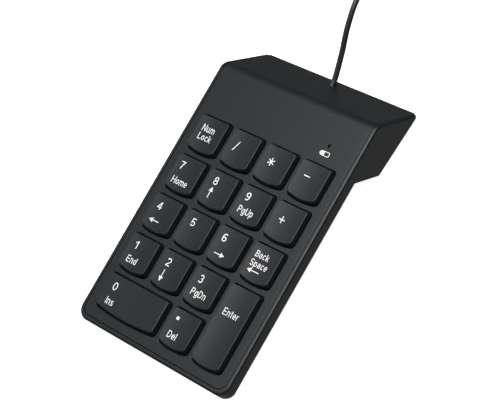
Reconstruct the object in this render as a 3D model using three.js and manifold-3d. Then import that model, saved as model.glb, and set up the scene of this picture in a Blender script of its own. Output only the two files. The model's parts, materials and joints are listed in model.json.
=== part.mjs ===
// Wired numeric keypad: 18 plunger keys on a sloping deck, a wedge-shaped rear that holds the
// controller board, and a USB lead. Millimetres. +Z is up and the desk is z = 0. +X is the
// typist's right, +Y is away from the typist. The origin is the middle of the rear foot's sole.
import * as THREE from 'three';
import { mergeVertices } from 'three/addons/utils/BufferGeometryUtils.js';
import Module from 'manifold-3d';

const wasm = await Module();
wasm.setup();

// ---- Driving dimensions -----------------------------------------------------------------
const PITCH = 19;                              // key spacing, both ways
const TRAVEL = 1.8;                            // key stroke
const TILT = THREE.MathUtils.degToRad(6);      // deck slope, rear edge higher
const DECK_HEIGHT = 13.65;                     // key grid centre above the desk
const GRID_TO_ORIGIN = 78;                     // key grid centre to rear foot, along the desk
const GAP = 0.2;                               // clearance between housing pieces
const BEYOND = 100;                            // outside every face, for cutting tools
const FILM_GAP = 0.05;                         // clearance between stacked sheets

const RIM = { halfWidth: 43.5, front: -53.5, corner: 5.5, rearCorner: 4.2 };
const PLATE = { halfWidth: 41.3, front: -51.3, corner: 4, rearCorner: 3, thickness: 1.5 };
const SLAB_UNDERSIDE = -5.9;
const FLOOR_TOP = -4.9;
const WEDGE_WALL = 1.3;
const FOLD = { y: 69, blend: 2.6 };            // where the deck turns down into the rear face
const REAR_EDGE_Y = 84.6;                      // lower edge of the rear face
const SIDE_DRAFT = 0.05;                       // the side walls lean inwards towards the desk
const WEDGE_FRONT = { top: 45.5, bottom: 54.6 };
const FOOT_PROUD = 0.73;                       // housing underside above the desk

const CAP = {
  halfWidth: 7.7, rear: 7.3, front: -7.08, bow: 1.3, top: 2.2,
  rearCorner: 1, frontCorner: 1.5, bevel: 0.25, skirt: -1.0, ceiling: 0.9, wall: 1.1,
};
const CAP_DRAFT = { side: 0.4, rear: 0.2, front: 0.45 };   // growth from the top to deck level
const OPENING_CLEARANCE = 0.4;
const PLUNGER = { half: 3.5, bottom: -1.8, barb: 0.35, barbHalf: 0.8, barbHeight: 0.35 };
const SLEEVE = { outer: 4.5, inner: 3.7, top: -1.0, slotTop: -1.3, slotHalf: 1.1 };
const KEY_FRAME = { halfWidth: 36.5, front: -49.5, rear: 45.5, bottom: -3.75, top: -3.05 };
const DOME = { base: 3.2, shoulder: 2.5, crown: 1.5, height: 1.94, wall: 0.4 };
const LAYERS = {                               // lower and upper face of each sheet
  supportPlate: [-4.85, -4.6], membraneBottom: [-4.55, -4.43], membraneSpacer: [-4.38, -4.26],
  membraneTop: [-4.21, -4.09], domeSheet: [-4.04, -3.8],
};
const TAIL = { x0: 6, x1: 18, rear: 53.5 };    // connector tail of the two printed films
const BOARD = { x0: -6, x1: 30, y0: 49.5, y1: 66, bottom: -5.85, top: -4.75 };
const LED = { x: 27.25, y: 54.2, hole: 0.65 };
const CABLE_RADIUS = 1.25;

// Stabiliser wire of the two double-length keys, in the key's own axes.
const WIRE = { radius: 0.4, halfSpan: 12, stub: 1.6, pivotY: -0.6, pivotZ: -2.5, arm: 6, barZ: 0.2 };
WIRE.barY = WIRE.pivotY + Math.sqrt(WIRE.arm ** 2 - (WIRE.barZ - WIRE.pivotZ) ** 2);

// Case screws through the thin slab and through the wedge.
const SLAB_SCREWS = [
  ['front_left', -39, -48.2], ['front_right', 39, -48.2],
  ['middle_left', -39, 0], ['middle_right', 39, 0],
];
const WEDGE_SCREWS = [['rear_left', -35, 60], ['rear_right', 35, 60]];
const SLAB_SCREW = { bearing: -5.05, length: 3.6, headRadius: 1.9, headHeight: 0.75, radius: 1 };
const WEDGE_SCREW = { bearing: -11.35, length: 7, headRadius: 2.3, headHeight: 1.5, radius: 1.2 };

// Small screws inside the wedge.
const BOARD_SCREWS = [['board_screw_left', -2.5, 62.5], ['board_screw_right', 26, 62.5]];
const TAIL_SCREWS = [['tail_screw_left', 3.5, 52], ['tail_screw_right', 20.5, 52]];
const SMALL_SCREW = { length: 4.2, headRadius: 1.6, headHeight: 0.8, radius: 0.8 };
const SMALL_HOLE = 1.1;                        // clearance hole of a small screw
const SMALL_PILOT = 0.95;                      // hole that a small screw cuts its thread in
const TAIL_CLAMP_TOP = -2.6;

// Keys: name, column and row of the centre, extra half pitches in width and length.
const KEYS = [
  ['key_num_lock', 0, 0, 0, 0], ['key_divide', 1, 0, 0, 0],
  ['key_multiply', 2, 0, 0, 0], ['key_minus', 3, 0, 0, 0],
  ['key_7', 0, 1, 0, 0], ['key_8', 1, 1, 0, 0], ['key_9', 2, 1, 0, 0], ['key_plus', 3, 1, 0, 0],
  ['key_4', 0, 2, 0, 0], ['key_5', 1, 2, 0, 0], ['key_6', 2, 2, 0, 0],
  ['key_backspace', 3, 2, 0, 0],
  ['key_1', 0, 3, 0, 0], ['key_2', 1, 3, 0, 0], ['key_3', 2, 3, 0, 0],
  ['key_enter', 3, 3.5, 0, 1], ['key_0', 0.5, 4, 1, 0], ['key_decimal', 2, 4, 0, 0],
].map(([name, column, row, wide, long]) => ({
  name,
  x: (column - 1.5) * PITCH,
  y: (2 - row) * PITCH,
  addX: wide * PITCH / 2,
  addY: long * PITCH / 2,
}));

// ---- Materials --------------------------------------------------------------------------
const finish = (color, roughness, metalness = 0) =>
  new THREE.MeshStandardMaterial({ color, roughness, metalness });
const CHARCOAL = finish(0x2b2d2f, 0.55);
const CHARCOAL_KEY = finish(0x2a2c2e, 0.5);
const BLACK_PLASTIC = finish(0x17181a, 0.5);
const SILICONE = finish(0xcfd2cf, 0.6);
const FILM = finish(0xb9c4c0, 0.25);
const STEEL = finish(0xb4b6b8, 0.35, 1);
const BOARD_GREEN = finish(0x1f5a35, 0.45);
const CLEAR = finish(0xe8eef0, 0.1);
const RUBBER = finish(0x1b1b1c, 0.85);
const CABLE_JACKET = finish(0x1f2022, 0.4);

// ---- Geometry helpers -------------------------------------------------------------------
// A closed three.js geometry as a manifold solid.
function solid(geometry) {
  const bare = geometry.index ? geometry.toNonIndexed() : geometry.clone();
  bare.deleteAttribute('normal');
  bare.deleteAttribute('uv');
  const merged = mergeVertices(bare, 1e-4);
  return new wasm.Manifold(new wasm.Mesh({
    numProp: 3,
    vertProperties: new Float32Array(merged.attributes.position.array),
    triVerts: new Uint32Array(merged.index.array),
  }));
}

function join(first, ...rest) {
  return rest.reduce((sum, piece) => sum.add(piece), first);
}

function cut(first, ...rest) {
  return rest.reduce((left, piece) => left.subtract(piece), first);
}

function meshOf(name, body, material) {
  const result = body.getMesh();
  const geometry = new THREE.BufferGeometry();
  const positions = new Float32Array(result.vertProperties);
  geometry.setAttribute('position', new THREE.BufferAttribute(positions, 3));
  geometry.setIndex(new THREE.BufferAttribute(new Uint32Array(result.triVerts), 1));
  geometry.computeVertexNormals();
  const mesh = new THREE.Mesh(geometry, material);
  mesh.name = name;
  return mesh;
}

function box(x0, x1, y0, y1, z0, z1) {
  const geometry = new THREE.BoxGeometry(x1 - x0, y1 - y0, z1 - z0);
  return solid(geometry.translate((x0 + x1) / 2, (y0 + y1) / 2, (z0 + z1) / 2));
}

// Upright cylinder or cone frustum.
function post(x, y, z0, z1, radius, topRadius = radius, sides = 12) {
  const geometry = new THREE.CylinderGeometry(topRadius, radius, z1 - z0, sides);
  return solid(geometry.rotateX(Math.PI / 2).translate(x, y, (z0 + z1) / 2));
}

// A plan drawn in (x, y), extruded through the whole height.
function planPrism(shape) {
  const options = { depth: 2 * BEYOND, bevelEnabled: false, curveSegments: 4 };
  return solid(new THREE.ExtrudeGeometry(shape, options).translate(0, 0, -BEYOND));
}

// A side profile drawn in (y, z), extruded across the width.
function sidePrism(shape, halfWidth) {
  const options = { depth: 2 * halfWidth, bevelEnabled: false, curveSegments: 6 };
  const across = new THREE.Matrix4().makeBasis(
    new THREE.Vector3(0, 1, 0), new THREE.Vector3(0, 0, 1), new THREE.Vector3(1, 0, 0));
  const geometry = new THREE.ExtrudeGeometry(shape, options).applyMatrix4(across);
  return solid(geometry.translate(-halfWidth, 0, 0));
}

// A front profile drawn in (x, z), extruded along the deck.
function frontPrism(shape) {
  const options = { depth: 2 * BEYOND, bevelEnabled: false };
  const geometry = new THREE.ExtrudeGeometry(shape, options).rotateX(Math.PI / 2);
  return solid(geometry.translate(0, BEYOND, 0));
}

function roundedRect(x0, x1, y0, y1, frontCorner, rearCorner = frontCorner) {
  const shape = new THREE.Shape();
  shape.moveTo(x0 + frontCorner, y0);
  shape.absarc(x1 - frontCorner, y0 + frontCorner, frontCorner, -Math.PI / 2, 0, false);
  shape.absarc(x1 - rearCorner, y1 - rearCorner, rearCorner, 0, Math.PI / 2, false);
  shape.absarc(x0 + rearCorner, y1 - rearCorner, rearCorner, Math.PI / 2, Math.PI, false);
  shape.absarc(x0 + frontCorner, y0 + frontCorner, frontCorner, Math.PI, 1.5 * Math.PI, false);
  return shape;
}

// Outline points of a shape without repeated neighbours.
function outline(shape, steps) {
  return shape.getPoints(steps).filter((point, i, all) =>
    point.distanceTo(all[(i + all.length - 1) % all.length]) > 1e-6);
}

// Solid through stacked outlines that all have the same number of points, lowest first.
function loft(sections) {
  const count = sections[0].points.length;
  const vertices = sections.flatMap(({ points, z }) => points.flatMap((p) => [p.x, p.y, z]));
  const faces = [];
  for (let level = 0; level + 1 < sections.length; level += 1) {
    for (let i = 0; i < count; i += 1) {
      const a = level * count + i;
      const b = level * count + (i + 1) % count;
      faces.push(a, b, b + count, a, b + count, a + count);
    }
  }
  const last = (sections.length - 1) * count;
  for (const [a, b, c] of THREE.ShapeUtils.triangulateShape(sections[0].points, [])) {
    faces.push(c, b, a, a + last, b + last, c + last);
  }
  const geometry = new THREE.BufferGeometry();
  geometry.setAttribute('position', new THREE.Float32BufferAttribute(vertices, 3));
  geometry.setIndex(faces);
  return solid(geometry);
}

// Round rod through a list of points, with ball joints at its bends.
function rod(points, radius, sides = 8) {
  const pieces = [];
  for (let i = 0; i + 1 < points.length; i += 1) {
    const span = new THREE.Vector3().subVectors(points[i + 1], points[i]);
    const turn = new THREE.Quaternion().setFromUnitVectors(
      new THREE.Vector3(0, 1, 0), span.clone().normalize());
    const middle = new THREE.Vector3().addVectors(points[i], points[i + 1]).multiplyScalar(0.5);
    const geometry = new THREE.CylinderGeometry(radius, radius, span.length(), sides);
    geometry.applyQuaternion(turn).translate(middle.x, middle.y, middle.z);
    pieces.push(solid(geometry));
    if (i > 0) {
      const ball = new THREE.SphereGeometry(radius, sides, sides / 2);
      pieces.push(solid(ball.translate(points[i].x, points[i].y, points[i].z)));
    }
  }
  return join(...pieces);
}

// Round bar swept along a smooth curve.
function sweep(points, radius, steps, sides) {
  const circle = new THREE.Shape().absarc(0, 0, radius, 0, 2 * Math.PI, false);
  const options = {
    steps, bevelEnabled: false, curveSegments: sides / 2,
    extrudePath: new THREE.CatmullRomCurve3(points),
  };
  return solid(new THREE.ExtrudeGeometry(circle, options));
}

const UP = new THREE.Vector3(0, 0, 1);
const sin = Math.sin(TILT);
const cos = Math.cos(TILT);

// Height, in deck axes, of the horizontal underside of the wedge.
function undersideZ(y) {
  return (FOOT_PROUD - DECK_HEIGHT - y * sin) / cos;
}

// Rear face: a point on it, and the same point moved inwards by a depth.
const REAR_EDGE = new THREE.Vector2(REAR_EDGE_Y, undersideZ(REAR_EDGE_Y));
const REAR_DOWN = new THREE.Vector2(REAR_EDGE.x - FOLD.y, REAR_EDGE.y).normalize();
function rearFaceY(z, depth) {
  const y = FOLD.y + depth * REAR_DOWN.y;
  return y + (z + depth * REAR_DOWN.x) * REAR_DOWN.x / REAR_DOWN.y;
}

// ---- Housing ----------------------------------------------------------------------------
// Side profile of deck and rear face, from the front edge to the lower rear edge.
function outerProfile(front) {
  const shape = new THREE.Shape();
  shape.moveTo(REAR_EDGE.x, REAR_EDGE.y);
  shape.lineTo(FOLD.y + FOLD.blend * REAR_DOWN.x, FOLD.blend * REAR_DOWN.y);
  shape.quadraticCurveTo(FOLD.y, 0, FOLD.y - FOLD.blend, 0);
  shape.lineTo(front, 0);
  return shape;
}

function capOutline(halfWidth, rear, front, bow, grow = 0) {
  const width = halfWidth + grow;
  const lower = front - grow;
  const upper = rear + grow;
  const radius = (width ** 2 + bow ** 2) / (2 * bow);
  const centre = lower - bow + radius;
  const half = Math.asin((width - CAP.frontCorner) / radius);
  const end = centre - radius * Math.cos(half);
  const shape = new THREE.Shape();
  shape.moveTo(-width, lower + CAP.frontCorner);
  shape.quadraticCurveTo(-width, lower, -width + CAP.frontCorner, end);
  shape.absarc(0, centre, radius, -Math.PI / 2 - half, -Math.PI / 2 + half, false);
  shape.quadraticCurveTo(width, lower, width, lower + CAP.frontCorner);
  shape.absarc(width - CAP.rearCorner, upper - CAP.rearCorner, CAP.rearCorner,
    0, Math.PI / 2, false);
  shape.absarc(-width + CAP.rearCorner, upper - CAP.rearCorner, CAP.rearCorner,
    Math.PI / 2, Math.PI, false);
  return outline(shape, 2);
}

// Outline of a key at a height: it widens from the top down to deck level, then drops straight.
function skirtOutline(key, z, grow = 0) {
  const draft = Math.min(1, (CAP.top - z) / CAP.top);
  return capOutline(
    CAP.halfWidth + key.addX + draft * CAP_DRAFT.side,
    CAP.rear + key.addY + draft * CAP_DRAFT.rear,
    CAP.front - key.addY - draft * CAP_DRAFT.front,
    CAP.bow, grow);
}

function moved(points, x, y) {
  return points.map((point) => new THREE.Vector2(point.x + x, point.y + y));
}

function keyOpening(key) {
  const points = moved(skirtOutline(key, 0, OPENING_CLEARANCE), key.x, key.y);
  return loft([{ points, z: -PLATE.thickness - 1 }, { points, z: 1 }]);
}

// A solid given in desk axes, turned into the deck's axes.
function toDeckAxes(body) {
  return body.translate([0, GRID_TO_ORIGIN, -DECK_HEIGHT])
    .rotate([-THREE.MathUtils.radToDeg(TILT), 0, 0]);
}

// Round channel for the cable through the rear wall.
function cableExit() {
  return toDeckAxes(sweep(CABLE_PATH.slice(0, 5), CABLE_RADIUS + 0.3, 14, 10));
}

function topCover() {
  const { halfWidth, front, corner, rearCorner, thickness } = PLATE;
  const profile = outerProfile(front);
  profile.lineTo(front, -thickness);
  profile.lineTo(rearFaceY(-thickness, thickness), -thickness);
  const lowest = undersideZ(rearFaceY(REAR_EDGE.y, thickness));
  profile.lineTo(rearFaceY(lowest, thickness), lowest);
  const plan = roundedRect(-halfWidth, halfWidth, front, REAR_EDGE_Y + 0.1, corner, rearCorner);
  const sheet = sidePrism(profile, halfWidth).intersect(planPrism(plan));

  const root = -thickness / 2;
  const bosses = [
    ...SLAB_SCREWS.map(([, x, y]) => post(x, y, -4, root, 1.8)),
    ...WEDGE_SCREWS.map(([, x, y]) => post(x, y, -9.8, root, 3)),
  ];
  const ribs = [-1, 0, 1].map((column) => {
    const start = column < 0 ? -1.5 : -2.5;
    return box(column * PITCH - 0.6, column * PITCH + 0.6, start * PITCH, KEY_FRAME.rear,
      KEY_FRAME.top + FILM_GAP, root);
  });
  const pilots = [
    ...SLAB_SCREWS.map(([, x, y]) => post(x, y, -5, -1, 1.1, 1.1, 8)),
    ...WEDGE_SCREWS.map(([, x, y]) => post(x, y, -11, -3, 1.35, 1.35, 8)),
  ];
  const ledHole = post(LED.x, LED.y, -3, 1, LED.hole);
  return cut(join(sheet, ...bosses, ...ribs), ...pilots, ledHole, ...KEYS.map(keyOpening),
    cableExit());
}

// Outside of the bottom cover: thin slab in front, wedge behind, side walls leaning inwards.
function bottomBlock() {
  const { halfWidth, front, corner, rearCorner } = RIM;
  const profile = outerProfile(front);
  profile.lineTo(front, SLAB_UNDERSIDE);
  profile.lineTo(WEDGE_FRONT.top, SLAB_UNDERSIDE);
  profile.lineTo(WEDGE_FRONT.bottom, undersideZ(WEDGE_FRONT.bottom));
  const plan = roundedRect(-halfWidth, halfWidth, front, REAR_EDGE_Y + 0.1, corner, rearCorner);
  const lean = SIDE_DRAFT * BEYOND;
  const sides = new THREE.Shape([
    new THREE.Vector2(-halfWidth, BEYOND), new THREE.Vector2(-halfWidth, 0),
    new THREE.Vector2(lean - halfWidth, -BEYOND), new THREE.Vector2(halfWidth - lean, -BEYOND),
    new THREE.Vector2(halfWidth, 0), new THREE.Vector2(halfWidth, BEYOND),
  ]);
  return sidePrism(profile, halfWidth).intersect(planPrism(plan)).intersect(frontPrism(sides));
}

// Inside of the bottom cover. It is open upwards and behind, where the top cover closes it.
function bottomCavity() {
  const inner = PLATE.halfWidth + GAP;
  const behind = WEDGE_FRONT.bottom + WEDGE_WALL;
  const floorZ = (y) => undersideZ(y) + WEDGE_WALL;
  const landing = rearFaceY(REAR_EDGE.y, PLATE.thickness + GAP);
  const profile = new THREE.Shape();
  profile.moveTo(PLATE.front - 20, 5);
  profile.lineTo(PLATE.front - 20, FLOOR_TOP);
  profile.lineTo(WEDGE_FRONT.top + WEDGE_WALL, FLOOR_TOP);
  profile.lineTo(behind, floorZ(behind));
  profile.lineTo(landing - WEDGE_WALL, floorZ(landing));
  profile.lineTo(landing + WEDGE_WALL, REAR_EDGE.y - 2);
  profile.lineTo(REAR_EDGE_Y + 20, REAR_EDGE.y - 2);
  profile.lineTo(REAR_EDGE_Y + 20, 5);
  const plan = roundedRect(-inner, inner, PLATE.front - GAP, REAR_EDGE_Y + 15,
    PLATE.corner + GAP, 1);
  return sidePrism(profile, inner).intersect(planPrism(plan));
}

function bottomCover() {
  const block = bottomBlock();
  const smallScrews = [...BOARD_SCREWS, ...TAIL_SCREWS];
  const pads = [
    ...SLAB_SCREWS.map(([, x, y]) => post(x, y, SLAB_UNDERSIDE + 0.4, -4.2, 2.3)),
    ...WEDGE_SCREWS.map(([, x, y]) => post(x, y, undersideZ(y) + 0.3, -10, 3.8)),
    ...smallScrews.map(([, x, y]) =>
      post(x, y, undersideZ(y) + 0.5, BOARD.bottom - GAP, 2.2, 2.2, 8)),
    post(CLAMP.x, CLAMP.y, undersideZ(CLAMP.y) + 0.5, CLAMP.postTop, 2.2, 2.2, 8),
  ];
  const holes = [
    ...SLAB_SCREWS.flatMap(([, x, y]) => [post(x, y, -7, -5, 2.1), post(x, y, -6, -3, 1.2)]),
    ...WEDGE_SCREWS.flatMap(([, x, y]) => [
      post(x, y, -24, WEDGE_SCREW.bearing + 0.05, 2.6), post(x, y, -12, -9, 1.4),
    ]),
    ...smallScrews.map(([, x, y]) => post(x, y, -10, -5, SMALL_PILOT, SMALL_PILOT, 8)),
    post(CLAMP.x, CLAMP.y, CLAMP.postTop - 3.5, CLAMP.postTop + 1, SMALL_PILOT, SMALL_PILOT, 8),
  ];
  const cover = join(block.subtract(bottomCavity()), ...pads.map((pad) => pad.intersect(block)));
  return cut(cover, ...holes, cableExit());
}

// ---- Keys -------------------------------------------------------------------------------
// One keycap: a thin shell with a square plunger, two retaining barbs and, on the long keys,
// two clips that hold the stabiliser wire.
function keycap(key) {
  const topOutline = skirtOutline(key, CAP.top);
  const inset = skirtOutline(key, CAP.top, -CAP.bevel);
  let cap = loft([
    { points: skirtOutline(key, CAP.skirt), z: CAP.skirt },
    { points: skirtOutline(key, 0), z: 0 },
    { points: topOutline, z: CAP.top - CAP.bevel },
    { points: inset, z: CAP.top },
  ]);
  const halfX = CAP.halfWidth + key.addX - CAP.wall;
  const halfY = CAP.rear + key.addY - CAP.wall;
  cap = cap.subtract(box(-halfX, halfX, -halfY, halfY, CAP.skirt - 1, CAP.ceiling));

  const { half, bottom, barb, barbHalf, barbHeight } = PLUNGER;
  const plunger = box(-half, half, -half, half, bottom, CAP.ceiling + 0.2);
  const core = half - 0.9;
  const crown = 2.2;
  cap = join(cap, cut(plunger, box(-core, core, -core, core, bottom - 1, CAP.ceiling)),
    post(0, 0, bottom + FILM_GAP, CAP.ceiling + 0.2, 1.4, crown, 8),
    box(-half - barb, half + barb, -barbHalf, barbHalf, bottom, bottom + barbHeight)
      .subtract(box(-core, core, -2, 2, bottom - 1, 0)));
  if (key.addX || key.addY) {
    const clips = [-8, 8].map((x) => wireClip(x, key));
    cap = join(cap, ...clips);
  }
  return cap;
}

// Clip under a long key's cap, open enough for the wire to swing.
function wireClip(x, key) {
  const room = WIRE.radius + 0.15;
  const wall = (key.addY ? CAP.halfWidth : CAP.rear) - CAP.wall + 0.1;
  const clip = cut(
    box(x - 0.8, x + 0.8, WIRE.barY - room - 0.5, wall, WIRE.barZ - room - 0.4, CAP.ceiling + 0.2),
    box(x - 1, x + 1, WIRE.barY - room, WIRE.barY + room + 0.6, WIRE.barZ - room,
      WIRE.barZ + room));
  return key.addY ? turnQuarter(clip) : clip;
}

function turnQuarter(body) {
  return body.rotate([0, 0, 90]);
}

function stabiliserWire(key) {
  const { halfSpan, stub, pivotY, pivotZ, barY, barZ, radius } = WIRE;
  const corner = (x, y, z) => new THREE.Vector3(x, y, z);
  const wire = rod([
    corner(-halfSpan - stub, pivotY, pivotZ), corner(-halfSpan, pivotY, pivotZ),
    corner(-halfSpan, barY, barZ), corner(halfSpan, barY, barZ),
    corner(halfSpan, pivotY, pivotZ), corner(halfSpan + stub, pivotY, pivotZ),
  ], radius);
  return key.addY ? turnQuarter(wire) : wire;
}

// ---- Key frame, dome sheet and films -----------------------------------------------------
function guideSleeve(key) {
  const { outer, inner, top, slotTop, slotHalf } = SLEEVE;
  const sleeve = box(key.x - outer, key.x + outer, key.y - outer, key.y + outer,
    KEY_FRAME.bottom, top);
  const bore = box(key.x - inner, key.x + inner, key.y - inner, key.y + inner, -6, 1);
  const reach = PLUNGER.half + PLUNGER.barb + 0.25;
  const grooves = box(key.x - reach, key.x + reach, key.y - slotHalf, key.y + slotHalf,
    -6, slotTop);
  return { sleeve, openings: [bore, grooves] };
}

// Two eyes on the key frame in which the stabiliser wire pivots.
function wireEyes(key) {
  const { halfSpan, pivotY, pivotZ, radius } = WIRE;
  const eyes = [-1, 1].map((side) => {
    const x = side * (halfSpan + 1.1);
    const block = box(x - 0.45, x + 0.45, pivotY - 1.1, pivotY + 1.1, KEY_FRAME.bottom + 0.1,
      pivotZ + 0.95);
    const hole = new THREE.CylinderGeometry(radius + 0.15, radius + 0.15, 3, 8);
    return block.subtract(solid(hole.rotateZ(Math.PI / 2).translate(x, pivotY, pivotZ)));
  });
  const pair = join(...eyes);
  return (key.addY ? turnQuarter(pair) : pair).translate([key.x, key.y, 0]);
}

function keyFrame() {
  const { halfWidth, front, rear, bottom, top } = KEY_FRAME;
  const plate = box(-halfWidth, halfWidth, front, rear, bottom, top);
  const guides = KEYS.map(guideSleeve);
  const long = KEYS.filter((key) => key.addX || key.addY);
  const frame = cut(join(plate, ...guides.map(({ sleeve }) => sleeve)),
    ...guides.flatMap(({ openings }) => openings));
  return join(frame, ...long.map(wireEyes));
}

function sheet([z0, z1], tail) {
  const { halfWidth, front, rear } = KEY_FRAME;
  const field = box(-halfWidth, halfWidth, front, rear, z0, z1);
  return tail ? field.add(box(TAIL.x0, TAIL.x1, rear - 1, TAIL.rear, z0, z1)) : field;
}

// Silicone sheet with one hollow dome under each plunger, open below.
function domeSheet() {
  const [z0, z1] = LAYERS.domeSheet;
  const { base, shoulder, crown, height, wall } = DOME;
  const lathe = (points) => solid(new THREE.LatheGeometry(points, 8).rotateX(Math.PI / 2));
  const ring = (radius, z) => new THREE.Vector2(radius, z);
  const outside = lathe([ring(0, z0), ring(base, z0), ring(base, z1),
    ring(shoulder, z1 + height * 0.6), ring(crown, z1 + height), ring(0, z1 + height)]);
  const inside = lathe([ring(0, z0 - 0.5), ring(base - wall, z0 - 0.5), ring(base - wall, z1),
    ring(shoulder - wall, z1 + height * 0.55), ring(crown, z1 + height - 2 * wall),
    ring(0, z1 + height - 2 * wall)]);
  const domes = KEYS.map(({ x, y }) => outside.translate([x, y, 0]));
  const hollows = KEYS.map(({ x, y }) => inside.translate([x, y, 0]));
  return cut(join(sheet(LAYERS.domeSheet, false), ...domes), ...hollows);
}

function membraneSpacer() {
  const [z0, z1] = LAYERS.membraneSpacer;
  const holes = KEYS.map(({ x, y }) => post(x, y, z0 - 1, z1 + 1, 2.5, 2.5, 6));
  return cut(sheet(LAYERS.membraneSpacer, false), ...holes);
}

// ---- Electronics ------------------------------------------------------------------------
function controllerBoard() {
  const { x0, x1, y0, y1, bottom, top } = BOARD;
  const holes = [...BOARD_SCREWS, ...TAIL_SCREWS].map(([, x, y]) =>
    post(x, y, bottom - 1, top + 1, SMALL_HOLE, SMALL_HOLE, 8));
  return cut(box(x0, x1, y0, y1, bottom, top), ...holes);
}

function tailClamp() {
  const bar = box(TAIL_SCREWS[0][1] - 2, TAIL_SCREWS[1][1] + 2, 50.5, TAIL.rear,
    LAYERS.membraneTop[1] + FILM_GAP, TAIL_CLAMP_TOP);
  const holes = TAIL_SCREWS.map(([, x, y]) => post(x, y, -6, 0, SMALL_HOLE, SMALL_HOLE, 8));
  return cut(bar, ...holes);
}

function lightPipe() {
  const flange = post(LED.x, LED.y, -3.5, -PLATE.thickness - GAP, 1.5);
  return flange.add(post(LED.x, LED.y, -2.5, -0.6, LED.hole - 0.08));
}

// ---- Screws -----------------------------------------------------------------------------
// Pan-head screw with a cross recess. It points up, or down when it is turned over.
function screw(x, y, bearing, size, pointsUp = true) {
  const { length, headRadius, headHeight, radius } = size;
  const span = (from, to) => (pointsUp
    ? [bearing + from, bearing + to]
    : [bearing - to, bearing - from]);
  const head = post(x, y, ...span(-headHeight, 0), headRadius, headRadius, 10);
  const shank = post(x, y, ...span(-0.1, length), radius, radius, 6);
  const recess = span(-headHeight - 1, -headHeight / 2);
  return cut(head.add(shank),
    box(x - 0.9, x + 0.9, y - 0.2, y + 0.2, ...recess),
    box(x - 0.2, x + 0.2, y - 0.9, y + 0.9, ...recess));
}

// ---- Feet, in desk axes -------------------------------------------------------------------
const FRONT_FOOT = { x: 29, y: -122, halfWidth: 6, halfLength: 3.5 };

// Height above the desk of the slab's underside.
function slabUndersideAt(y) {
  const along = (y + GRID_TO_ORIGIN + SLAB_UNDERSIDE * sin) / cos;
  return DECK_HEIGHT + along * sin + SLAB_UNDERSIDE * cos;
}

function frontFoot(side) {
  const { x, y, halfWidth, halfLength } = FRONT_FOOT;
  const geometry = new THREE.BoxGeometry(2 * halfWidth, 2 * halfLength, 2);
  geometry.translate(side * x, y, 1);
  const corners = geometry.attributes.position;
  for (let i = 0; i < corners.count; i += 1) {
    if (corners.getZ(i) > 1) corners.setZ(i, slabUndersideAt(corners.getY(i)) - GAP / 2);
  }
  return solid(geometry);
}

// ---- Cable and plug, in desk axes ---------------------------------------------------------
const at = (x, y, z) => new THREE.Vector3(x, y, z);
const PLUG = {
  foot: at(-72, 79.4, 4), forward: at(-0.95, -0.31, 0).normalize(), length: 24, halfWidth: 8,
  height: 7.9, shellHalfWidth: 6, shellHalfHeight: 2.25, shellLength: 18.5, shellWall: 0.3,
  seat: 3, collar: 7,
};
const CABLE_PATH = [
  at(0, -10, 4.6), at(0, -2, 4.2), at(0, 5, 4.5), at(0, 16.5, 10.7), at(0, 26.5, 17.6),
  at(0, 36.9, 22.4), at(-1, 48, 22.1), at(-5, 60, 15), at(-13, 72, 6.4), at(-26, 82, 1.9),
  at(-41, 86.5, 1.4), at(-54, 85.6, 2.4),
  PLUG.foot.clone().addScaledVector(PLUG.forward, -PLUG.collar - 2), PLUG.foot,
];
const CLAMP = { x: 5.5, y: 71.5, postTop: -15.4 };

// Strap over the cable inside the wedge.
function cableClamp() {
  const z0 = CLAMP.postTop + GAP;
  const strap = box(-5.5, CLAMP.x + 2.2, CLAMP.y - 1.8, CLAMP.y + 1.8, z0, z0 + 1.2);
  return cut(strap, post(CLAMP.x, CLAMP.y, z0 - 1, z0 + 3, SMALL_HOLE, SMALL_HOLE, 8));
}

function plugGrip() {
  const { length, halfWidth, height, seat, shellHalfWidth, shellHalfHeight } = PLUG;
  const upright = (inset, y) => {
    const shape = roundedRect(-halfWidth + inset, halfWidth - inset,
      -height / 2 + inset, height / 2 - inset, 1.8);
    return { points: outline(shape, 3), z: y };
  };
  const body = loft([upright(0.7, 0), upright(0, 0.7), upright(0, length - 0.5),
    upright(0.4, length)]);
  const bore = CABLE_RADIUS + 0.15;
  const collar = post(0, 0, -PLUG.collar, 1, CABLE_RADIUS + 0.9, CABLE_RADIUS + 1.8);
  const cableHole = post(0, 0, -PLUG.collar - 1, 2.2, bore, bore);
  const pocket = box(-shellHalfWidth - 0.1, shellHalfWidth + 0.1, -shellHalfHeight - 0.1,
    shellHalfHeight + 0.1, length - seat, length + 1);
  return cut(body.add(collar), cableHole, pocket);
}

function plugShell() {
  const { length, seat, shellHalfWidth, shellHalfHeight, shellLength, shellWall } = PLUG;
  const w = shellHalfWidth;
  const h = shellHalfHeight;
  const end = length + shellLength;
  const tube = cut(box(-w, w, -h, h, length - seat + 0.1, end),
    box(-w + shellWall, w - shellWall, -h + shellWall, h - shellWall, 0, end + 1));
  const windows = [-3, 3].map((x) => box(x - 1.2, x + 1.2, -h - 1, h + 1, end - 8, end - 5.8));
  return cut(tube, ...windows);
}

function plugTongue() {
  const { length, seat, shellHalfWidth, shellHalfHeight, shellLength, shellWall } = PLUG;
  const w = shellHalfWidth - shellWall - 0.15;
  const high = shellHalfHeight - shellWall - 0.1;
  return box(-w, w, high - 1.9, high, length - seat + 0.2, length + shellLength - 0.8);
}

// Four thin leads from the cable's end up to the board.
function lead(index) {
  const x = 8 + index * 1.6;
  const fan = -0.84 + index * 0.56;
  const stagger = 0.3 * (index % 2);
  return sweep([
    at(fan, -10.6, CABLE_PATH[0].z + stagger), at(3 + fan * 2, -12.6, 6), at(x, -14.5, 9.8),
    at(x, -14.2, DECK_HEIGHT - 0.05),
  ], 0.2, 8, 6);
}

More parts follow.
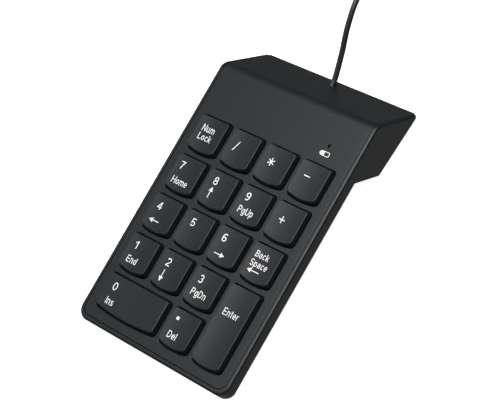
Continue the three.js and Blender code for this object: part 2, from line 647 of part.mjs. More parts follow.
// ---- Assembly ---------------------------------------------------------------------------
const keypad = new THREE.Group();
const deck = new THREE.Group();
deck.rotation.x = TILT;
deck.position.set(0, -GRID_TO_ORIGIN, DECK_HEIGHT);
keypad.add(deck);

deck.add(meshOf('top_cover', topCover(), CHARCOAL));
deck.add(meshOf('bottom_cover', bottomCover(), CHARCOAL));
deck.add(meshOf('key_frame', keyFrame(), BLACK_PLASTIC));
deck.add(meshOf('dome_sheet', domeSheet(), SILICONE));
deck.add(meshOf('membrane_top', sheet(LAYERS.membraneTop, true), FILM));
deck.add(meshOf('membrane_spacer', membraneSpacer(), FILM));
deck.add(meshOf('membrane_bottom', sheet(LAYERS.membraneBottom, true), FILM));
deck.add(meshOf('support_plate', sheet(LAYERS.supportPlate, false), STEEL));

for (const key of KEYS) {
  const cap = meshOf(key.name, keycap(key), CHARCOAL_KEY);
  cap.position.set(key.x, key.y, 0);
  deck.add(cap);
  if (key.addX || key.addY) {
    const wire = meshOf(`${key.name}_wire`, stabiliserWire(key), STEEL);
    wire.position.set(key.x, key.y, 0);
    deck.add(wire);
  }
}

deck.add(meshOf('controller_board', controllerBoard(), BOARD_GREEN));
deck.add(meshOf('controller_chip', box(8, 15, 56, 63, BOARD.top + GAP / 2, BOARD.top + 1.3),
  BLACK_PLASTIC));
deck.add(meshOf('status_led', box(LED.x - 1.6, LED.x + 1.6, LED.y - 0.8, LED.y + 0.8,
  BOARD.top + GAP / 2, BOARD.top + 1.1), CLEAR));
deck.add(meshOf('light_pipe', lightPipe(), CLEAR));
deck.add(meshOf('tail_clamp', tailClamp(), BLACK_PLASTIC));
deck.add(meshOf('cable_clamp', cableClamp(), BLACK_PLASTIC));

for (const [place, x, y] of SLAB_SCREWS) {
  deck.add(meshOf(`case_screw_${place}`, screw(x, y, SLAB_SCREW.bearing, SLAB_SCREW), STEEL));
}
for (const [place, x, y] of WEDGE_SCREWS) {
  deck.add(meshOf(`case_screw_${place}`, screw(x, y, WEDGE_SCREW.bearing, WEDGE_SCREW), STEEL));
}
for (const [name, x, y] of BOARD_SCREWS) {
  deck.add(meshOf(name, screw(x, y, BOARD.top + 0.05, SMALL_SCREW, false), STEEL));
}
for (const [name, x, y] of TAIL_SCREWS) {
  const longer = { ...SMALL_SCREW, length: 6.5 };
  deck.add(meshOf(name, screw(x, y, TAIL_CLAMP_TOP + 0.05, longer, false), STEEL));
}
deck.add(meshOf('cable_clamp_screw',
  screw(CLAMP.x, CLAMP.y, CLAMP.postTop + GAP + 1.25, SMALL_SCREW, false), STEEL));

keypad.add(meshOf('rear_foot', box(-28, 28, -4, 4, 0, FOOT_PROUD - GAP / 2), RUBBER));
keypad.add(meshOf('front_foot_left', frontFoot(-1), RUBBER));
keypad.add(meshOf('front_foot_right', frontFoot(1), RUBBER));
keypad.add(meshOf('cable', sweep(CABLE_PATH, CABLE_RADIUS, 40, 8), CABLE_JACKET));
for (const [index, colour] of [0xb03028, 0xe6e6e0, 0x2f7d46, 0x1a1a1a].entries()) {
  keypad.add(meshOf(`lead_${index + 1}`, lead(index), finish(colour, 0.5)));
}

const plug = new THREE.Group();
plug.position.copy(PLUG.foot);
plug.quaternion.setFromRotationMatrix(new THREE.Matrix4().makeBasis(
  new THREE.Vector3().crossVectors(UP, PLUG.forward), UP, PLUG.forward));
plug.add(meshOf('plug_grip', plugGrip(), BLACK_PLASTIC));
plug.add(meshOf('plug_shell', plugShell(), STEEL));
plug.add(meshOf('plug_tongue', plugTongue(), BLACK_PLASTIC));
keypad.add(plug);

export default keypad;
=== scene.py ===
"""Looks of the numeric keypad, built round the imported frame.

Most pieces are drawn in deck axes, in millimetres: x to the right, y away from the typist along
the deck, z out of the deck surface, with the middle of the key grid as the origin. DECK turns
those into the frame's metres. Feet, cable and plug are drawn in desk axes, which DESK only scales.
"""
import json
from math import atan2, ceil, cos, degrees, dist, hypot, pi, radians, sin, sqrt, tan

import bmesh
import bpy
from mathutils import Matrix, Vector


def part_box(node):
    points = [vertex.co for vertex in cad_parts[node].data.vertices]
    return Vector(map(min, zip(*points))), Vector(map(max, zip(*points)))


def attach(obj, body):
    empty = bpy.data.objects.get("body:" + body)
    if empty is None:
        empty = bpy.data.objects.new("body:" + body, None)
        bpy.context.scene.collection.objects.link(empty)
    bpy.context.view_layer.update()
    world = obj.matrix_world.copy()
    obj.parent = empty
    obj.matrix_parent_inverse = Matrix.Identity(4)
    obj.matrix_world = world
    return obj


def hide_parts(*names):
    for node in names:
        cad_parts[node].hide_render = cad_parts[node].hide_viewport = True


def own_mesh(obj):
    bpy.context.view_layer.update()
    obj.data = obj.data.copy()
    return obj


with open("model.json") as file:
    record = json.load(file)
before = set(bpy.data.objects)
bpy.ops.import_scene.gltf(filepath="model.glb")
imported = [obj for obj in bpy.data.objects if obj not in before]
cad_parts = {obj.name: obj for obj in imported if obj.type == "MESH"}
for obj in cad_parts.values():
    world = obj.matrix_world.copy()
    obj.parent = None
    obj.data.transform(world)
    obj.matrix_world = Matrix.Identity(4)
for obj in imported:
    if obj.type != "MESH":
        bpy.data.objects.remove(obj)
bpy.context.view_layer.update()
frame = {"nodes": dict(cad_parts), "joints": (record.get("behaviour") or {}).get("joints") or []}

MM = 0.001

# ---- Places and sizes ----
CAP_REAR_SKIRT = 7.5  # key centre to the rear of its skirt
PITCH = 19.0  # from key centre to key centre
TRAVEL = 1.8  # key stroke
FOLD_RADIUS = 5.0  # deck surface into rear face
FOLD_Y = 69.0  # where deck and rear face would meet without the fold's radius
REAR_EDGE = (84.6, -21.9)  # lower edge of the rear face
PLATE = {"half": 41.3, "front": -51.3, "corner": 4.0, "rear_corner": 1.8, "thick": 1.5,
         "edge": 0.28}
RIM = {"half": 43.5, "front": -53.5, "corner": 5.5, "rear_corner": 3.0, "round": 1.1,
       "lower": 0.35}
SIDE_DRAFT = 0.05  # inward lean of the housing's sides, per unit of depth
SLAB_UNDERSIDE = -5.9
FLOOR_TOP = -4.9
WEDGE = ((45.5, SLAB_UNDERSIDE), (54.6, -18.73))  # top and foot of the wedge's front wall
CAP = {
    "half": 7.7, "rear": 7.3, "front": -7.08, "bow": 1.3, "rear_corner": 1.0,
    "front_corner": 1.5, "top": 2.2, "skirt": -1.0, "edge": 0.3, "dish": 0.38,
    "draft_side": 0.4, "draft_rear": 0.2, "draft_front": 0.45, "wall": 1.1, "ceiling": 0.9,
}
TUBE = (2.6, 3.5)  # plunger tube, half width inside and outside
POST_END = -1.75  # lower end of the post inside it
OPENING_CLEARANCE = 0.4
LED = {"x": 27.25, "y": 54.2, "radius": 0.7}
ICON = {"x": 27.25, "y": 50.65, "half": 2.5, "high": 1.05, "line": 0.28}
CABLE_RADIUS = 1.25
CABLE_HOLE = {"up": 5.15, "radius": 1.7}  # middle of the cable above the lower rear edge
SLAB_SCREWS = {"front_left": (-39, -48.2), "front_right": (39, -48.2),
               "middle_left": (-39, 0), "middle_right": (39, 0)}
WEDGE_SCREWS = {"rear_left": (-35, 60), "rear_right": (35, 60)}
SLAB_SCREW = {"bearing": -5.05, "length": 3.6, "head": 1.9, "high": 0.75, "shank": 1.0}
WEDGE_SCREW = {"bearing": -11.35, "length": 7.0, "head": 2.3, "high": 1.5, "shank": 1.2}
THREAD_PITCH = 0.5
CROSS_SLOT = (1.1, 0.2)  # half length and half width of each slot of a cross recess
DOME = {"sheet": (-4.04, -3.8), "base": 3.2, "crown": 1.5, "height": 1.94, "wall": 0.35}


def axes_from_frame():
    """Deck axes and origin from the key's slide direction and the CAD nodes."""
    normal = Vector(frame["joints"][0]["axis"]).normalized()
    right = Vector((1, 0, 0))
    back = normal.cross(right)
    cover = [normal.dot(v.co) for v in frame["nodes"]["top_cover"].data.vertices]
    key = [back.dot(v.co) for v in frame["nodes"]["key_5"].data.vertices]
    origin = normal * max(cover) + back * (max(key) - CAP_REAR_SKIRT * MM)
    turn = Matrix((right, back, normal)).transposed().to_4x4()
    return Matrix.Translation(origin) @ turn @ Matrix.Scale(MM, 4)


DECK = axes_from_frame()
DESK = Matrix.Scale(MM, 4)
PLAIN = Matrix.Identity(4)


# ---- Mesh helpers ----
def add_object(name, data):
    obj = bpy.data.objects.new(name, data)
    bpy.context.scene.collection.objects.link(obj)
    return obj


def finish_mesh(name, bm, matrix, sharp=40):
    """A smooth-shaded object from a bmesh given in the axes of matrix."""
    bmesh.ops.remove_doubles(bm, verts=bm.verts, dist=1e-5)
    bmesh.ops.recalc_face_normals(bm, faces=bm.faces)
    mesh = bpy.data.meshes.new(name)
    bm.to_mesh(mesh)
    bm.free()
    mesh.transform(matrix)
    obj = add_object(name, mesh)
    soften(obj, sharp)
    return obj


def soften(obj, sharp=40):
    obj.data.shade_smooth()
    obj.data.set_sharp_from_angle(angle=radians(sharp))


def placed(obj, matrix, sharp=40):
    """Moves a finished mesh into the axes of matrix and smooths it again."""
    obj.data.transform(matrix)
    soften(obj, sharp)


def weighted(obj):
    """Keeps flat faces flat beside their rounded edges."""
    modifier = obj.modifiers.new("weighted", "WEIGHTED_NORMAL")
    modifier.keep_sharp = True
    modifier.weight = 90


def evaluated(obj):
    """A new mesh: the object's with its modifiers, or a curve's filled shape."""
    graph = bpy.context.evaluated_depsgraph_get()
    return bpy.data.meshes.new_from_object(obj.evaluated_get(graph))


def applied(obj):
    """Applies an object's modifiers."""
    mesh = evaluated(obj)
    obj.modifiers.clear()
    obj.data = mesh


def bevelled(obj, width):
    """Rounds all edges of a block."""
    modifier = obj.modifiers.new("bevel", "BEVEL")
    modifier.width = width
    modifier.segments = 2
    modifier.limit_method = "ANGLE"
    modifier.angle_limit = radians(35)
    applied(obj)


def boolean(obj, tool, operation="DIFFERENCE"):
    modifier = obj.modifiers.new("boolean", "BOOLEAN")
    modifier.operation = operation
    modifier.solver = "EXACT"
    modifier.object = tool
    applied(obj)
    bpy.data.objects.remove(tool)
    return obj


def rings_to_mesh(bm, rings, capped=True):
    """Quads through rings of equal length; each ring is a list of Vectors."""
    loops = [[bm.verts.new(point) for point in ring] for ring in rings]
    count = len(loops[0])
    for low, high in zip(loops, loops[1:]):
        for i in range(count):
            j = (i + 1) % count
            bm.faces.new((low[i], low[j], high[j], high[i]))
    if capped:
        bm.faces.new(loops[0][::-1])
        bm.faces.new(loops[-1])


def level(points, z):
    """A flat outline as a ring at a height."""
    return [Vector((x, y, z)) for x, y in points]


def lathe(bm, profile, place=(0, 0), count=32):
    """A closed turned solid: profile is (radius, z) from one end of the axis to the other."""
    rings_to_mesh(bm, turned(profile, place, count))


def turned(profile, place, count):
    """A ring of points for each (radius, z) of a profile."""
    x, y = place
    return [[Vector((x + max(r, 1e-3) * cos(a), y + max(r, 1e-3) * sin(a), z))
             for a in (2 * pi * i / count for i in range(count))] for r, z in profile]


def block(bm, x0, x1, y0, y1, z0, z1):
    corners = ((x0, y0), (x1, y0), (x1, y1), (x0, y1))
    rings_to_mesh(bm, [level(corners, z0), level(corners, z1)])


def built(name, make, matrix=PLAIN, sharp=40):
    """An object whose mesh is filled in by make(bm)."""
    bm = bmesh.new()
    make(bm)
    return finish_mesh(name, bm, matrix, sharp)


def arc(cx, cy, radius, start, end, count):
    """Points of an arc from start to end, in degrees, both ends included."""
    return bow(cx, cy, radius, radius, start, end, count)


def bow(cx, cy, rx, ry, start, end, count=0):
    """Points of an ellipse's arc from start to end, in degrees, both ends included."""
    count = count or max(2, round(abs(end - start) / 15))
    turns = [radians(start + (end - start) * i / count) for i in range(count + 1)]
    return [(cx + rx * cos(t), cy + ry * sin(t)) for t in turns]


def straight(a, b, count):
    """Points strictly between a and b."""
    return [(a[0] + (b[0] - a[0]) * i / count, a[1] + (b[1] - a[1]) * i / count)
            for i in range(1, count)]


def oval(cx, cy, rx, ry):
    """A closed ellipse, its first point not repeated."""
    return bow(cx, cy, rx, ry, 0, 345, 23)


def rounded_rect(x0, x1, y0, y1, front, rear, front_count=8, rear_count=0):
    """Front and rear corner radius, and how many parts each corner has."""
    rear_count = rear_count or front_count
    points = arc(x0 + front, y0 + front, front, 180, 270, front_count)
    points += arc(x1 - front, y0 + front, front, 270, 360, front_count)
    points += arc(x1 - rear, y1 - rear, rear, 0, 90, rear_count)
    points += arc(x0 + rear, y1 - rear, rear, 90, 180, rear_count)
    return points


# ---- The bent surface of deck and rear face ----
FOLD_STEPS = 12
FOLD_ANGLE = atan2(-REAR_EDGE[1], REAR_EDGE[0] - FOLD_Y)
FOLD_TANGENT = FOLD_RADIUS * tan(FOLD_ANGLE / 2)
FOLD_START = FOLD_Y - FOLD_TANGENT
FOLD_LENGTH = FOLD_RADIUS * FOLD_ANGLE
SLOPE_LENGTH = hypot(REAR_EDGE[0] - FOLD_Y, REAR_EDGE[1]) - FOLD_TANGENT
SHEET_END = FOLD_START + FOLD_LENGTH + SLOPE_LENGTH


def bend(x, along, height=0.0):
    """A point of the unrolled cover, put on the deck, on the fold or on the rear face."""
    turned = min(max(along - FOLD_START, 0.0), FOLD_LENGTH) / FOLD_RADIUS
    if turned == 0.0:
        return Vector((x, along, height))
    radius = FOLD_RADIUS + height
    y = FOLD_START + radius * sin(turned)
    z = -FOLD_RADIUS + radius * cos(turned)
    beyond = max(along - FOLD_START - FOLD_LENGTH, 0.0)
    return Vector((x, y + beyond * cos(turned), z - beyond * sin(turned)))


# ---- Keycap outline ----
def key_ring(wide, long, drop=0.0, inset=0.0):
    """Outline of a key, counter-clockwise, with straight sides and rear and a bowed front edge.

    drop is 0 at its top and 1 at deck level; inset shrinks it evenly.
    """
    half = CAP["half"] + wide + drop * CAP["draft_side"] - inset
    rear = CAP["rear"] + long + drop * CAP["draft_rear"] - inset
    front = CAP["front"] - long - drop * CAP["draft_front"] + inset
    rear_corner = max(CAP["rear_corner"] - inset, 0.2)
    front_corner = max(CAP["front_corner"] - inset, 0.3)
    rows, columns = 7 + round(long), 8 + round(wide)
    big = (half ** 2 + CAP["bow"] ** 2) / (2 * CAP["bow"])
    centre = front - CAP["bow"] + big
    inner = centre - sqrt((big - front_corner) ** 2 - (half - front_corner) ** 2)
    tangent = degrees(atan2(inner - centre, half - front_corner))
    side = half - front_corner
    back = half - rear_corner
    points = arc(0, centre, big, -180 - tangent, tangent, columns * 2)
    points += arc(side, inner, front_corner, tangent, 0, 5)[1:]
    points += straight((half, inner), (half, rear - rear_corner), rows)
    points += arc(back, rear - rear_corner, rear_corner, 0, 90, 5)
    points += straight((back, rear), (-back, rear), columns)
    points += arc(-back, rear - rear_corner, rear_corner, 90, 180, 5)
    points += straight((-half, rear - rear_corner), (-half, inner), rows)
    points += arc(-side, inner, front_corner, 180, 180 - tangent, 5)[:-1]
    return points


KEYS = {
    "num_lock": (0, 0), "divide": (1, 0), "multiply": (2, 0), "minus": (3, 0),
    "7": (0, 1), "8": (1, 1), "9": (2, 1), "plus": (3, 1),
    "4": (0, 2), "5": (1, 2), "6": (2, 2), "backspace": (3, 2),
    "1": (0, 3), "2": (1, 3), "3": (2, 3), "enter": (3, 3.5),
    "0": (0.5, 4), "decimal": (2, 4),
}
LONG = {"enter": (0.0, PITCH / 2), "0": (PITCH / 2, 0.0)}


def key_place(key):
    column, row = KEYS[key]
    return (column - 1.5) * PITCH, (2 - row) * PITCH


# ---- Materials ----
def preset(node, **values):
    """Sets a node's inputs, or else its settings, by name."""
    for key, value in values.items():
        name = key.replace("_", " ")
        if name in node.inputs:
            node.inputs[name].default_value = value
        else:
            setattr(node, key, value)
    return node


class Nodes:
    """Small helper that wires a material's nodes."""

    def __init__(self, name):
        self.material = bpy.data.materials.new(name)
        self.material.use_nodes = True
        self.tree = self.material.node_tree
        self.shader = self.tree.nodes["Principled BSDF"]

    def add(self, kind, **inputs):
        return preset(self.tree.nodes.new(kind), **inputs)

    def wire(self, source, output, target, name):
        self.tree.links.new(source.outputs[output], target.inputs[name])

    def noise(self, size, detail=3.0, coordinates=None):
        """Noise of a feature size in metres, in the object's own coordinates."""
        texture = self.add("ShaderNodeTexNoise", Scale=1.0 / size, Detail=detail, Roughness=0.55)
        source = coordinates or self.add("ShaderNodeTexCoord")
        self.wire(source, "Vector" if coordinates else "Object", texture, "Vector")
        return texture

    def ranged(self, texture, low, high):
        lift = self.add("ShaderNodeMapRange", To_Min=low, To_Max=high)
        self.wire(texture, "Fac", lift, "Value")
        return lift

    def relief(self, texture, strength, depth):
        relief = self.add("ShaderNodeBump", Strength=strength, Distance=depth)
        self.wire(texture, "Fac", relief, "Height")
        self.wire(relief, "Normal", self.shader, "Normal")

    def tinted(self, colour, factor):
        """Base colour times a factor node's result."""
        tint = self.add("ShaderNodeMix", data_type="RGBA", blend_type="MULTIPLY")
        tint.inputs[0].default_value = 1.0
        tint.inputs[6].default_value = (*colour, 1)
        self.tree.links.new(factor.outputs["Result"], tint.inputs[7])
        self.tree.links.new(tint.outputs[2], self.shader.inputs["Base Color"])


def plastic(name, colour, roughness, grain=0.00022, bump=0.12, mottling=0.06, shine=0.5):
    """Moulded plastic: fine spark-eroded grain, a little uneven gloss and colour."""
    n = Nodes(name)
    fine = n.noise(grain)
    n.tinted(colour, n.ranged(n.noise(0.022, 4.0), 1.0 - mottling, 1.0 + mottling))
    n.wire(n.ranged(fine, roughness - 0.05, roughness + 0.05), "Result", n.shader, "Roughness")
    n.relief(fine, bump, 0.00006)
    preset(n.shader, Specular_IOR_Level=shine)
    return n.material


def metal(name, colour, roughness):
    """Plated metal with drawn lines."""
    n = Nodes(name)
    stretch = n.add("ShaderNodeMapping", Scale=(1.0, 0.06, 1.0))
    n.wire(n.add("ShaderNodeTexCoord"), "Object", stretch, "Vector")
    lines = n.noise(0.0011, 4.0, stretch)
    n.wire(n.ranged(lines, roughness - 0.07, roughness + 0.1), "Result", n.shader, "Roughness")
    n.tinted(colour, n.ranged(lines, 0.94, 1.04))
    n.relief(lines, 0.05, 0.00003)
    preset(n.shader, Metallic=1.0)
    return n.material


CASE = plastic("case_plastic", (0.0086, 0.0116, 0.0140), 0.36, bump=0.25, mottling=0.12)
KEY = plastic("key_plastic", (0.0082, 0.0114, 0.0145), 0.34, grain=0.00018, bump=0.2, mottling=0.1)
INNER = plastic("inner_plastic", (0.010, 0.010, 0.011), 0.5)
PRINT = plastic("legend_print", (0.95, 0.95, 0.95), 0.45, bump=0.03, mottling=0.02)
RUBBER = plastic("rubber", (0.014, 0.014, 0.014), 0.85, grain=0.0004, bump=0.3)
SILICONE = plastic("silicone", (0.60, 0.62, 0.60), 0.55, bump=0.05)
JACKET = plastic("cable_jacket", (0.016, 0.0165, 0.017), 0.36, grain=0.0006, bump=0.06)
FILM = plastic("film", (0.50, 0.58, 0.56), 0.2, bump=0.02)
BOARD = plastic("board", (0.02, 0.13, 0.05), 0.4, bump=0.05)
CHIP = plastic("chip", (0.012, 0.012, 0.013), 0.45, bump=0.1)
# The light pipe is near black: painted shade that makes the indicator hole look deep and dark.
LIGHT_PIPE_SHADE = plastic("light_pipe_shade", (0.004, 0.004, 0.005), 0.2, bump=0.0, shine=0.2)
LENS = plastic("led_package", (0.45, 0.46, 0.44), 0.25, bump=0.02)
STEEL = metal("steel", (0.62, 0.63, 0.64), 0.32)
NICKEL = metal("plug_steel", (0.72, 0.72, 0.73), 0.22)
GOLD = metal("contact_gold", (0.83, 0.62, 0.27), 0.2)
LEADS = {f"lead_{i + 1}": plastic(f"lead_{name}", colour, 0.4) for i, (name, colour) in enumerate((
    ("red", (0.42, 0.03, 0.02)), ("white", (0.75, 0.75, 0.72)),
    ("green", (0.03, 0.20, 0.06)), ("black", (0.01, 0.01, 0.01))))}


def dress(obj, material, node=None, body="root"):
    """Material and body; hides the CAD node that the piece stands for."""
    obj.data.materials.clear()
    obj.data.materials.append(material)
    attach(obj, body)
    if node:
        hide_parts(node)


def copy_of(mesh, name, place, body, node):
    """A piece that shares its mesh with others, at a place on the deck."""
    obj = add_object(name, mesh)
    obj.matrix_world = DECK @ Matrix.Translation(place)
    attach(obj, body)
    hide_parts(node)


# ---- Top cover ----
def flat_plate(name, outlines, thickness, edge, segments=3):
    """A flat plate with holes and rounded edges, its upper face at height 0."""
    curve = bpy.data.curves.new(name, "CURVE")
    curve.dimensions = "2D"
    curve.fill_mode = "BOTH"
    curve.extrude = thickness / 2 - edge
    curve.bevel_depth = edge
    curve.bevel_resolution = segments
    curve.offset = -edge
    for outline in outlines:
        spline = curve.splines.new("POLY")
        spline.points.add(len(outline) - 1)
        for point, (x, y) in zip(spline.points, outline):
            point.co = (x, y, 0, 1)
        spline.use_cyclic_u = True
    holder = add_object(name, curve)
    mesh = evaluated(holder)
    bpy.data.objects.remove(holder)
    bm = bmesh.new()
    bm.from_mesh(mesh)
    bpy.data.meshes.remove(mesh)
    bmesh.ops.translate(bm, verts=bm.verts, vec=(0, 0, -thickness / 2))
    bmesh.ops.remove_doubles(bm, verts=bm.verts, dist=1e-4)
    return bm


def slice_fold(bm, steps=FOLD_STEPS):
    """Cuts across the sheet so that it can bend along the fold."""
    for i in range(steps + 1):
        along = FOLD_START + FOLD_LENGTH * i / steps
        geometry = bm.verts[:] + bm.edges[:] + bm.faces[:]
        bmesh.ops.bisect_plane(bm, geom=geometry, plane_co=(0, along, 0), plane_no=(0, 1, 0))


def opening(key):
    wide, long = LONG.get(key, (0.0, 0.0))
    x, y = key_place(key)
    return [(px + x, py + y) for px, py in key_ring(wide, long, 1.0, -OPENING_CLEARANCE)]


def cover_outline():
    """Unrolled outline of the top cover."""
    return rounded_rect(-PLATE["half"], PLATE["half"], PLATE["front"], SHEET_END,
                        PLATE["corner"], PLATE["rear_corner"], 10, 8)


def top_cover():
    holes = [opening(key) for key in KEYS]
    for x, y, radius in ((LED["x"], LED["y"], LED["radius"]),
                         (0, SHEET_END - CABLE_HOLE["up"], CABLE_HOLE["radius"])):
        holes.append(oval(x, y, radius, radius))
    bm = flat_plate("top_cover_sheet", [cover_outline()] + holes, PLATE["thick"], PLATE["edge"])
    slice_fold(bm)
    for vertex in bm.verts:
        vertex.co = bend(*vertex.co)
    down = Vector((0, REAR_EDGE[1] - WEDGE[1][1], WEDGE[1][0] - REAR_EDGE[0]))
    geometry = bm.verts[:] + bm.edges[:] + bm.faces[:]
    trimmed = bmesh.ops.bisect_plane(bm, geom=geometry, plane_co=(0, *REAR_EDGE), plane_no=down,
                                     clear_outer=True)["geom_cut"]
    bmesh.ops.holes_fill(bm, edges=[e for e in trimmed if isinstance(e, bmesh.types.BMEdge)])
    bmesh.ops.dissolve_degenerate(bm, edges=bm.edges, dist=1e-3)
    cover = finish_mesh("top_cover_shell", bm, DECK, 35)
    weighted(cover)
    dress(cover, CASE, "top_cover")


# ---- Bottom cover ----
def underside(y):
    """Height of the wedge's underside, which is parallel to the desk."""
    (y0, z0), (y1, z1) = WEDGE[1], REAR_EDGE
    return z0 + (y - y0) * (z1 - z0) / (y1 - y0)


def side_outline(steps=FOLD_STEPS):
    """Side profile of the housing, from the front underside over the deck and back."""
    points = [(RIM["front"], SLAB_UNDERSIDE), (RIM["front"], 0.0)]
    for i in range(steps + 1):
        place = bend(0, FOLD_START + FOLD_LENGTH * i / steps)
        points.append((place.y, place.z))
    return points + [REAR_EDGE, WEDGE[1], WEDGE[0]]


def prism(name, axis, outline, ends):
    """Prism along axis 0, 1 or 2. The outline gives the other two coordinates, in their order."""
    rings = [[Vector((*point[:axis], end, *point[axis:])) for point in outline] for end in ends]
    return built(name, lambda bm: rings_to_mesh(bm, rings))


def housing_block():
    """Outside of the bottom cover with its rounded rim and edges."""
    half = RIM["half"]
    shell = prism("bottom_cover_shell", 0, side_outline(), (-half, half))
    narrow = half + SIDE_DRAFT * REAR_EDGE[1] + 0.05
    rear = REAR_EDGE[0] + 0.1
    corner = RIM["rear_corner"]
    plan = rounded_rect(-half, half, RIM["front"], 70, RIM["corner"], 0.1, 10)[:22]
    plan += [(half, 70)] + arc(narrow - corner, rear - corner, corner, 10, 90, 10)
    plan += arc(corner - narrow, rear - corner, corner, 90, 170, 10) + [(-half, 70)]
    boolean(shell, prism("plan", 2, plan, (-40, 20)), "INTERSECT")
    low = half - SIDE_DRAFT * 40
    front = [(-half, 20), (-half, 0), (-low, -40), (low, -40), (half, 0), (half, 20)]
    boolean(shell, prism("draft", 1, front, (-80, 120)), "INTERSECT")
    bm = bmesh.new()
    bm.from_mesh(shell.data)
    bmesh.ops.dissolve_limit(bm, angle_limit=radians(0.5), verts=bm.verts, edges=bm.edges)
    round_edges(bm)
    bm.to_mesh(shell.data)
    bm.free()
    return shell


def round_edges(bm):
    """Rounds the rim along deck and rear face, then the lower edges."""
    def is_upper(edge):
        normals = [face.normal for face in edge.link_faces]
        return (len(normals) == 2 and any(abs(n.x) < 0.01 and n.z > 0.3 for n in normals)
                and all(n.z > -0.06 for n in normals)
                and normals[0].angle(normals[1]) > radians(60))

    def is_lower(edge):
        return (len(edge.link_faces) == 2 and edge.is_convex
                and edge.calc_face_angle() > radians(30))

    for chosen, offset, segments in ((is_upper, RIM["round"], 6), (is_lower, RIM["lower"], 3)):
        bmesh.ops.bevel(bm, geom=[edge for edge in bm.edges if chosen(edge)], offset=offset,
                        segments=segments, profile=0.5, affect="EDGES", clamp_overlap=False)


def housing_cavity():
    inner = PLATE["half"] + 0.25
    wall = 1.3
    rear = REAR_EDGE[0]
    hollow = [(-80, 5), (-80, FLOOR_TOP), (WEDGE[0][0] + wall, FLOOR_TOP),
              (WEDGE[1][0] + wall, underside(WEDGE[1][0]) + wall),
              (rear - 3.05, underside(rear) + wall), (rear - 0.45, underside(rear) - 2),
              (110, underside(rear) - 2), (110, 5)]
    cavity = prism("hollow", 0, hollow[::-1], (-inner, inner))
    trim = rounded_rect(-inner, inner, PLATE["front"] - 0.2, 105, PLATE["corner"] + 0.2, 1, 10)
    return boolean(cavity, prism("trim", 2, trim, (-40, 20)), "INTERSECT")


def screw_pads(bm):
    """Thicker floor round each screw."""
    low = SLAB_UNDERSIDE + 0.4
    for place in SLAB_SCREWS.values():
        lathe(bm, [(0, low), (2.3, low), (2.3, -4.2), (0, -4.2)], place)
    for x, y in WEDGE_SCREWS.values():
        low = underside(y) + 0.5
        lathe(bm, [(0, low), (3.8, low), (3.6, -10), (0, -10)], (x, y))


def screw_holes(bm):
    """Counterbores for the heads and holes for the shanks."""
    low = SLAB_UNDERSIDE
    for place in SLAB_SCREWS.values():
        lathe(bm, [(0, -8), (2.3, -8), (2.3, low - 0.05), (2.1, low + 0.15),
                   (2.1, -5.0), (1.2, -5.0), (1.2, -3), (0, -3)], place, 40)
    for x, y in WEDGE_SCREWS.values():
        low = underside(y)
        lathe(bm, [(0, low - 3), (3.1, low - 3), (3.1, low - 0.3), (2.6, low + 0.4),
                   (2.6, -11.3), (1.4, -11.3), (1.4, -9), (0, -9)], (x, y), 40)


def bottom_cover():
    shell = housing_block()
    boolean(shell, housing_cavity())
    boolean(shell, built("pads", screw_pads), "UNION")
    boolean(shell, built("holes", screw_holes))
    placed(shell, DECK, 35)
    weighted(shell)
    dress(shell, CASE, "bottom_cover")


# ---- Keycaps ----
def dish(x, half):
    """Height of the hollowed top across a key."""
    return CAP["top"] - CAP["dish"] * (1 - (x / half) ** 2)


def cap_shell(bm, wide, long):
    """Drafted skirt, small rounded edge, hollowed top and a hollow underside."""
    half = CAP["half"] + wide
    edge = CAP["edge"]
    inner = key_ring(wide, long, 1.0, CAP["wall"])
    rings = [level(inner, CAP["ceiling"]), level(inner, CAP["skirt"])]
    for drop, z in ((1.0, CAP["skirt"]), (1.0, 0.0), (0.5, CAP["top"] / 2)):
        rings.append(level(key_ring(wide, long, drop), z))
    for angle in (0, 18, 36, 54, 72, 90):
        turn = radians(angle)
        ring = key_ring(wide, long, 0.0, edge * (1 - cos(turn)))
        rings.append([Vector((x, y, dish(x, half) - edge * (1 - sin(turn))))
                      for x, y in ring])
    base = key_ring(wide, long, 0.0, edge)
    for scale in (0.93, 0.8, 0.65, 0.5, 0.35, 0.2, 0.08):
        rings.append([Vector((x * scale, y * scale, dish(x * scale, half))) for x, y in base])
    rings_to_mesh(bm, rings)


def plunger(bm):
    """Square tube under the cap with two retaining barbs, and the post that presses the dome."""
    top = CAP["ceiling"] + 0.2
    inner, outer = TUBE
    square = ((-1, -1), (1, -1), (1, 1), (-1, 1))
    turns = ((inner, top), (inner, -TRAVEL), (outer, -TRAVEL), (outer, top), (inner, top))
    rings_to_mesh(bm, [[Vector((x * half, y * half, z)) for x, y in square] for half, z in turns],
                  False)
    for side in (-1, 1):
        block(bm, *sorted((side * (outer - 0.1), side * (outer + 0.35))), -0.8, 0.8,
              -TRAVEL, -TRAVEL + 0.35)
    lathe(bm, [(0, POST_END), (1.4, POST_END), (2.2, top), (0, top)])


def wire_clips(bm, long):
    """Two hooks under a long key that hold its stabiliser wire."""
    bar_y, bar_z, room = 4.756, 0.2, 0.55
    wall = (CAP["half"] if long else CAP["rear"]) - CAP["wall"] + 0.1
    low, top = bar_z - room - 0.4, CAP["ceiling"] + 0.2
    near, far = bar_y - room, bar_y + room + 0.6
    hook = [(near - 0.5, top), (near - 0.5, low), (wall, low), (wall, top), (far, top),
            (far, low + 0.4), (near, low + 0.4), (near, top)]
    for x in (-8, 8):
        rings = [[Vector((-y, x + side, z)) if long else Vector((x + side, y, z))
                  for y, z in hook] for side in (-0.8, 0.8)]
        rings_to_mesh(bm, rings)


def cap_parts(bm, key, size):
    cap_shell(bm, *size)
    plunger(bm)
    if key in LONG:
        wire_clips(bm, size[1] > 0)


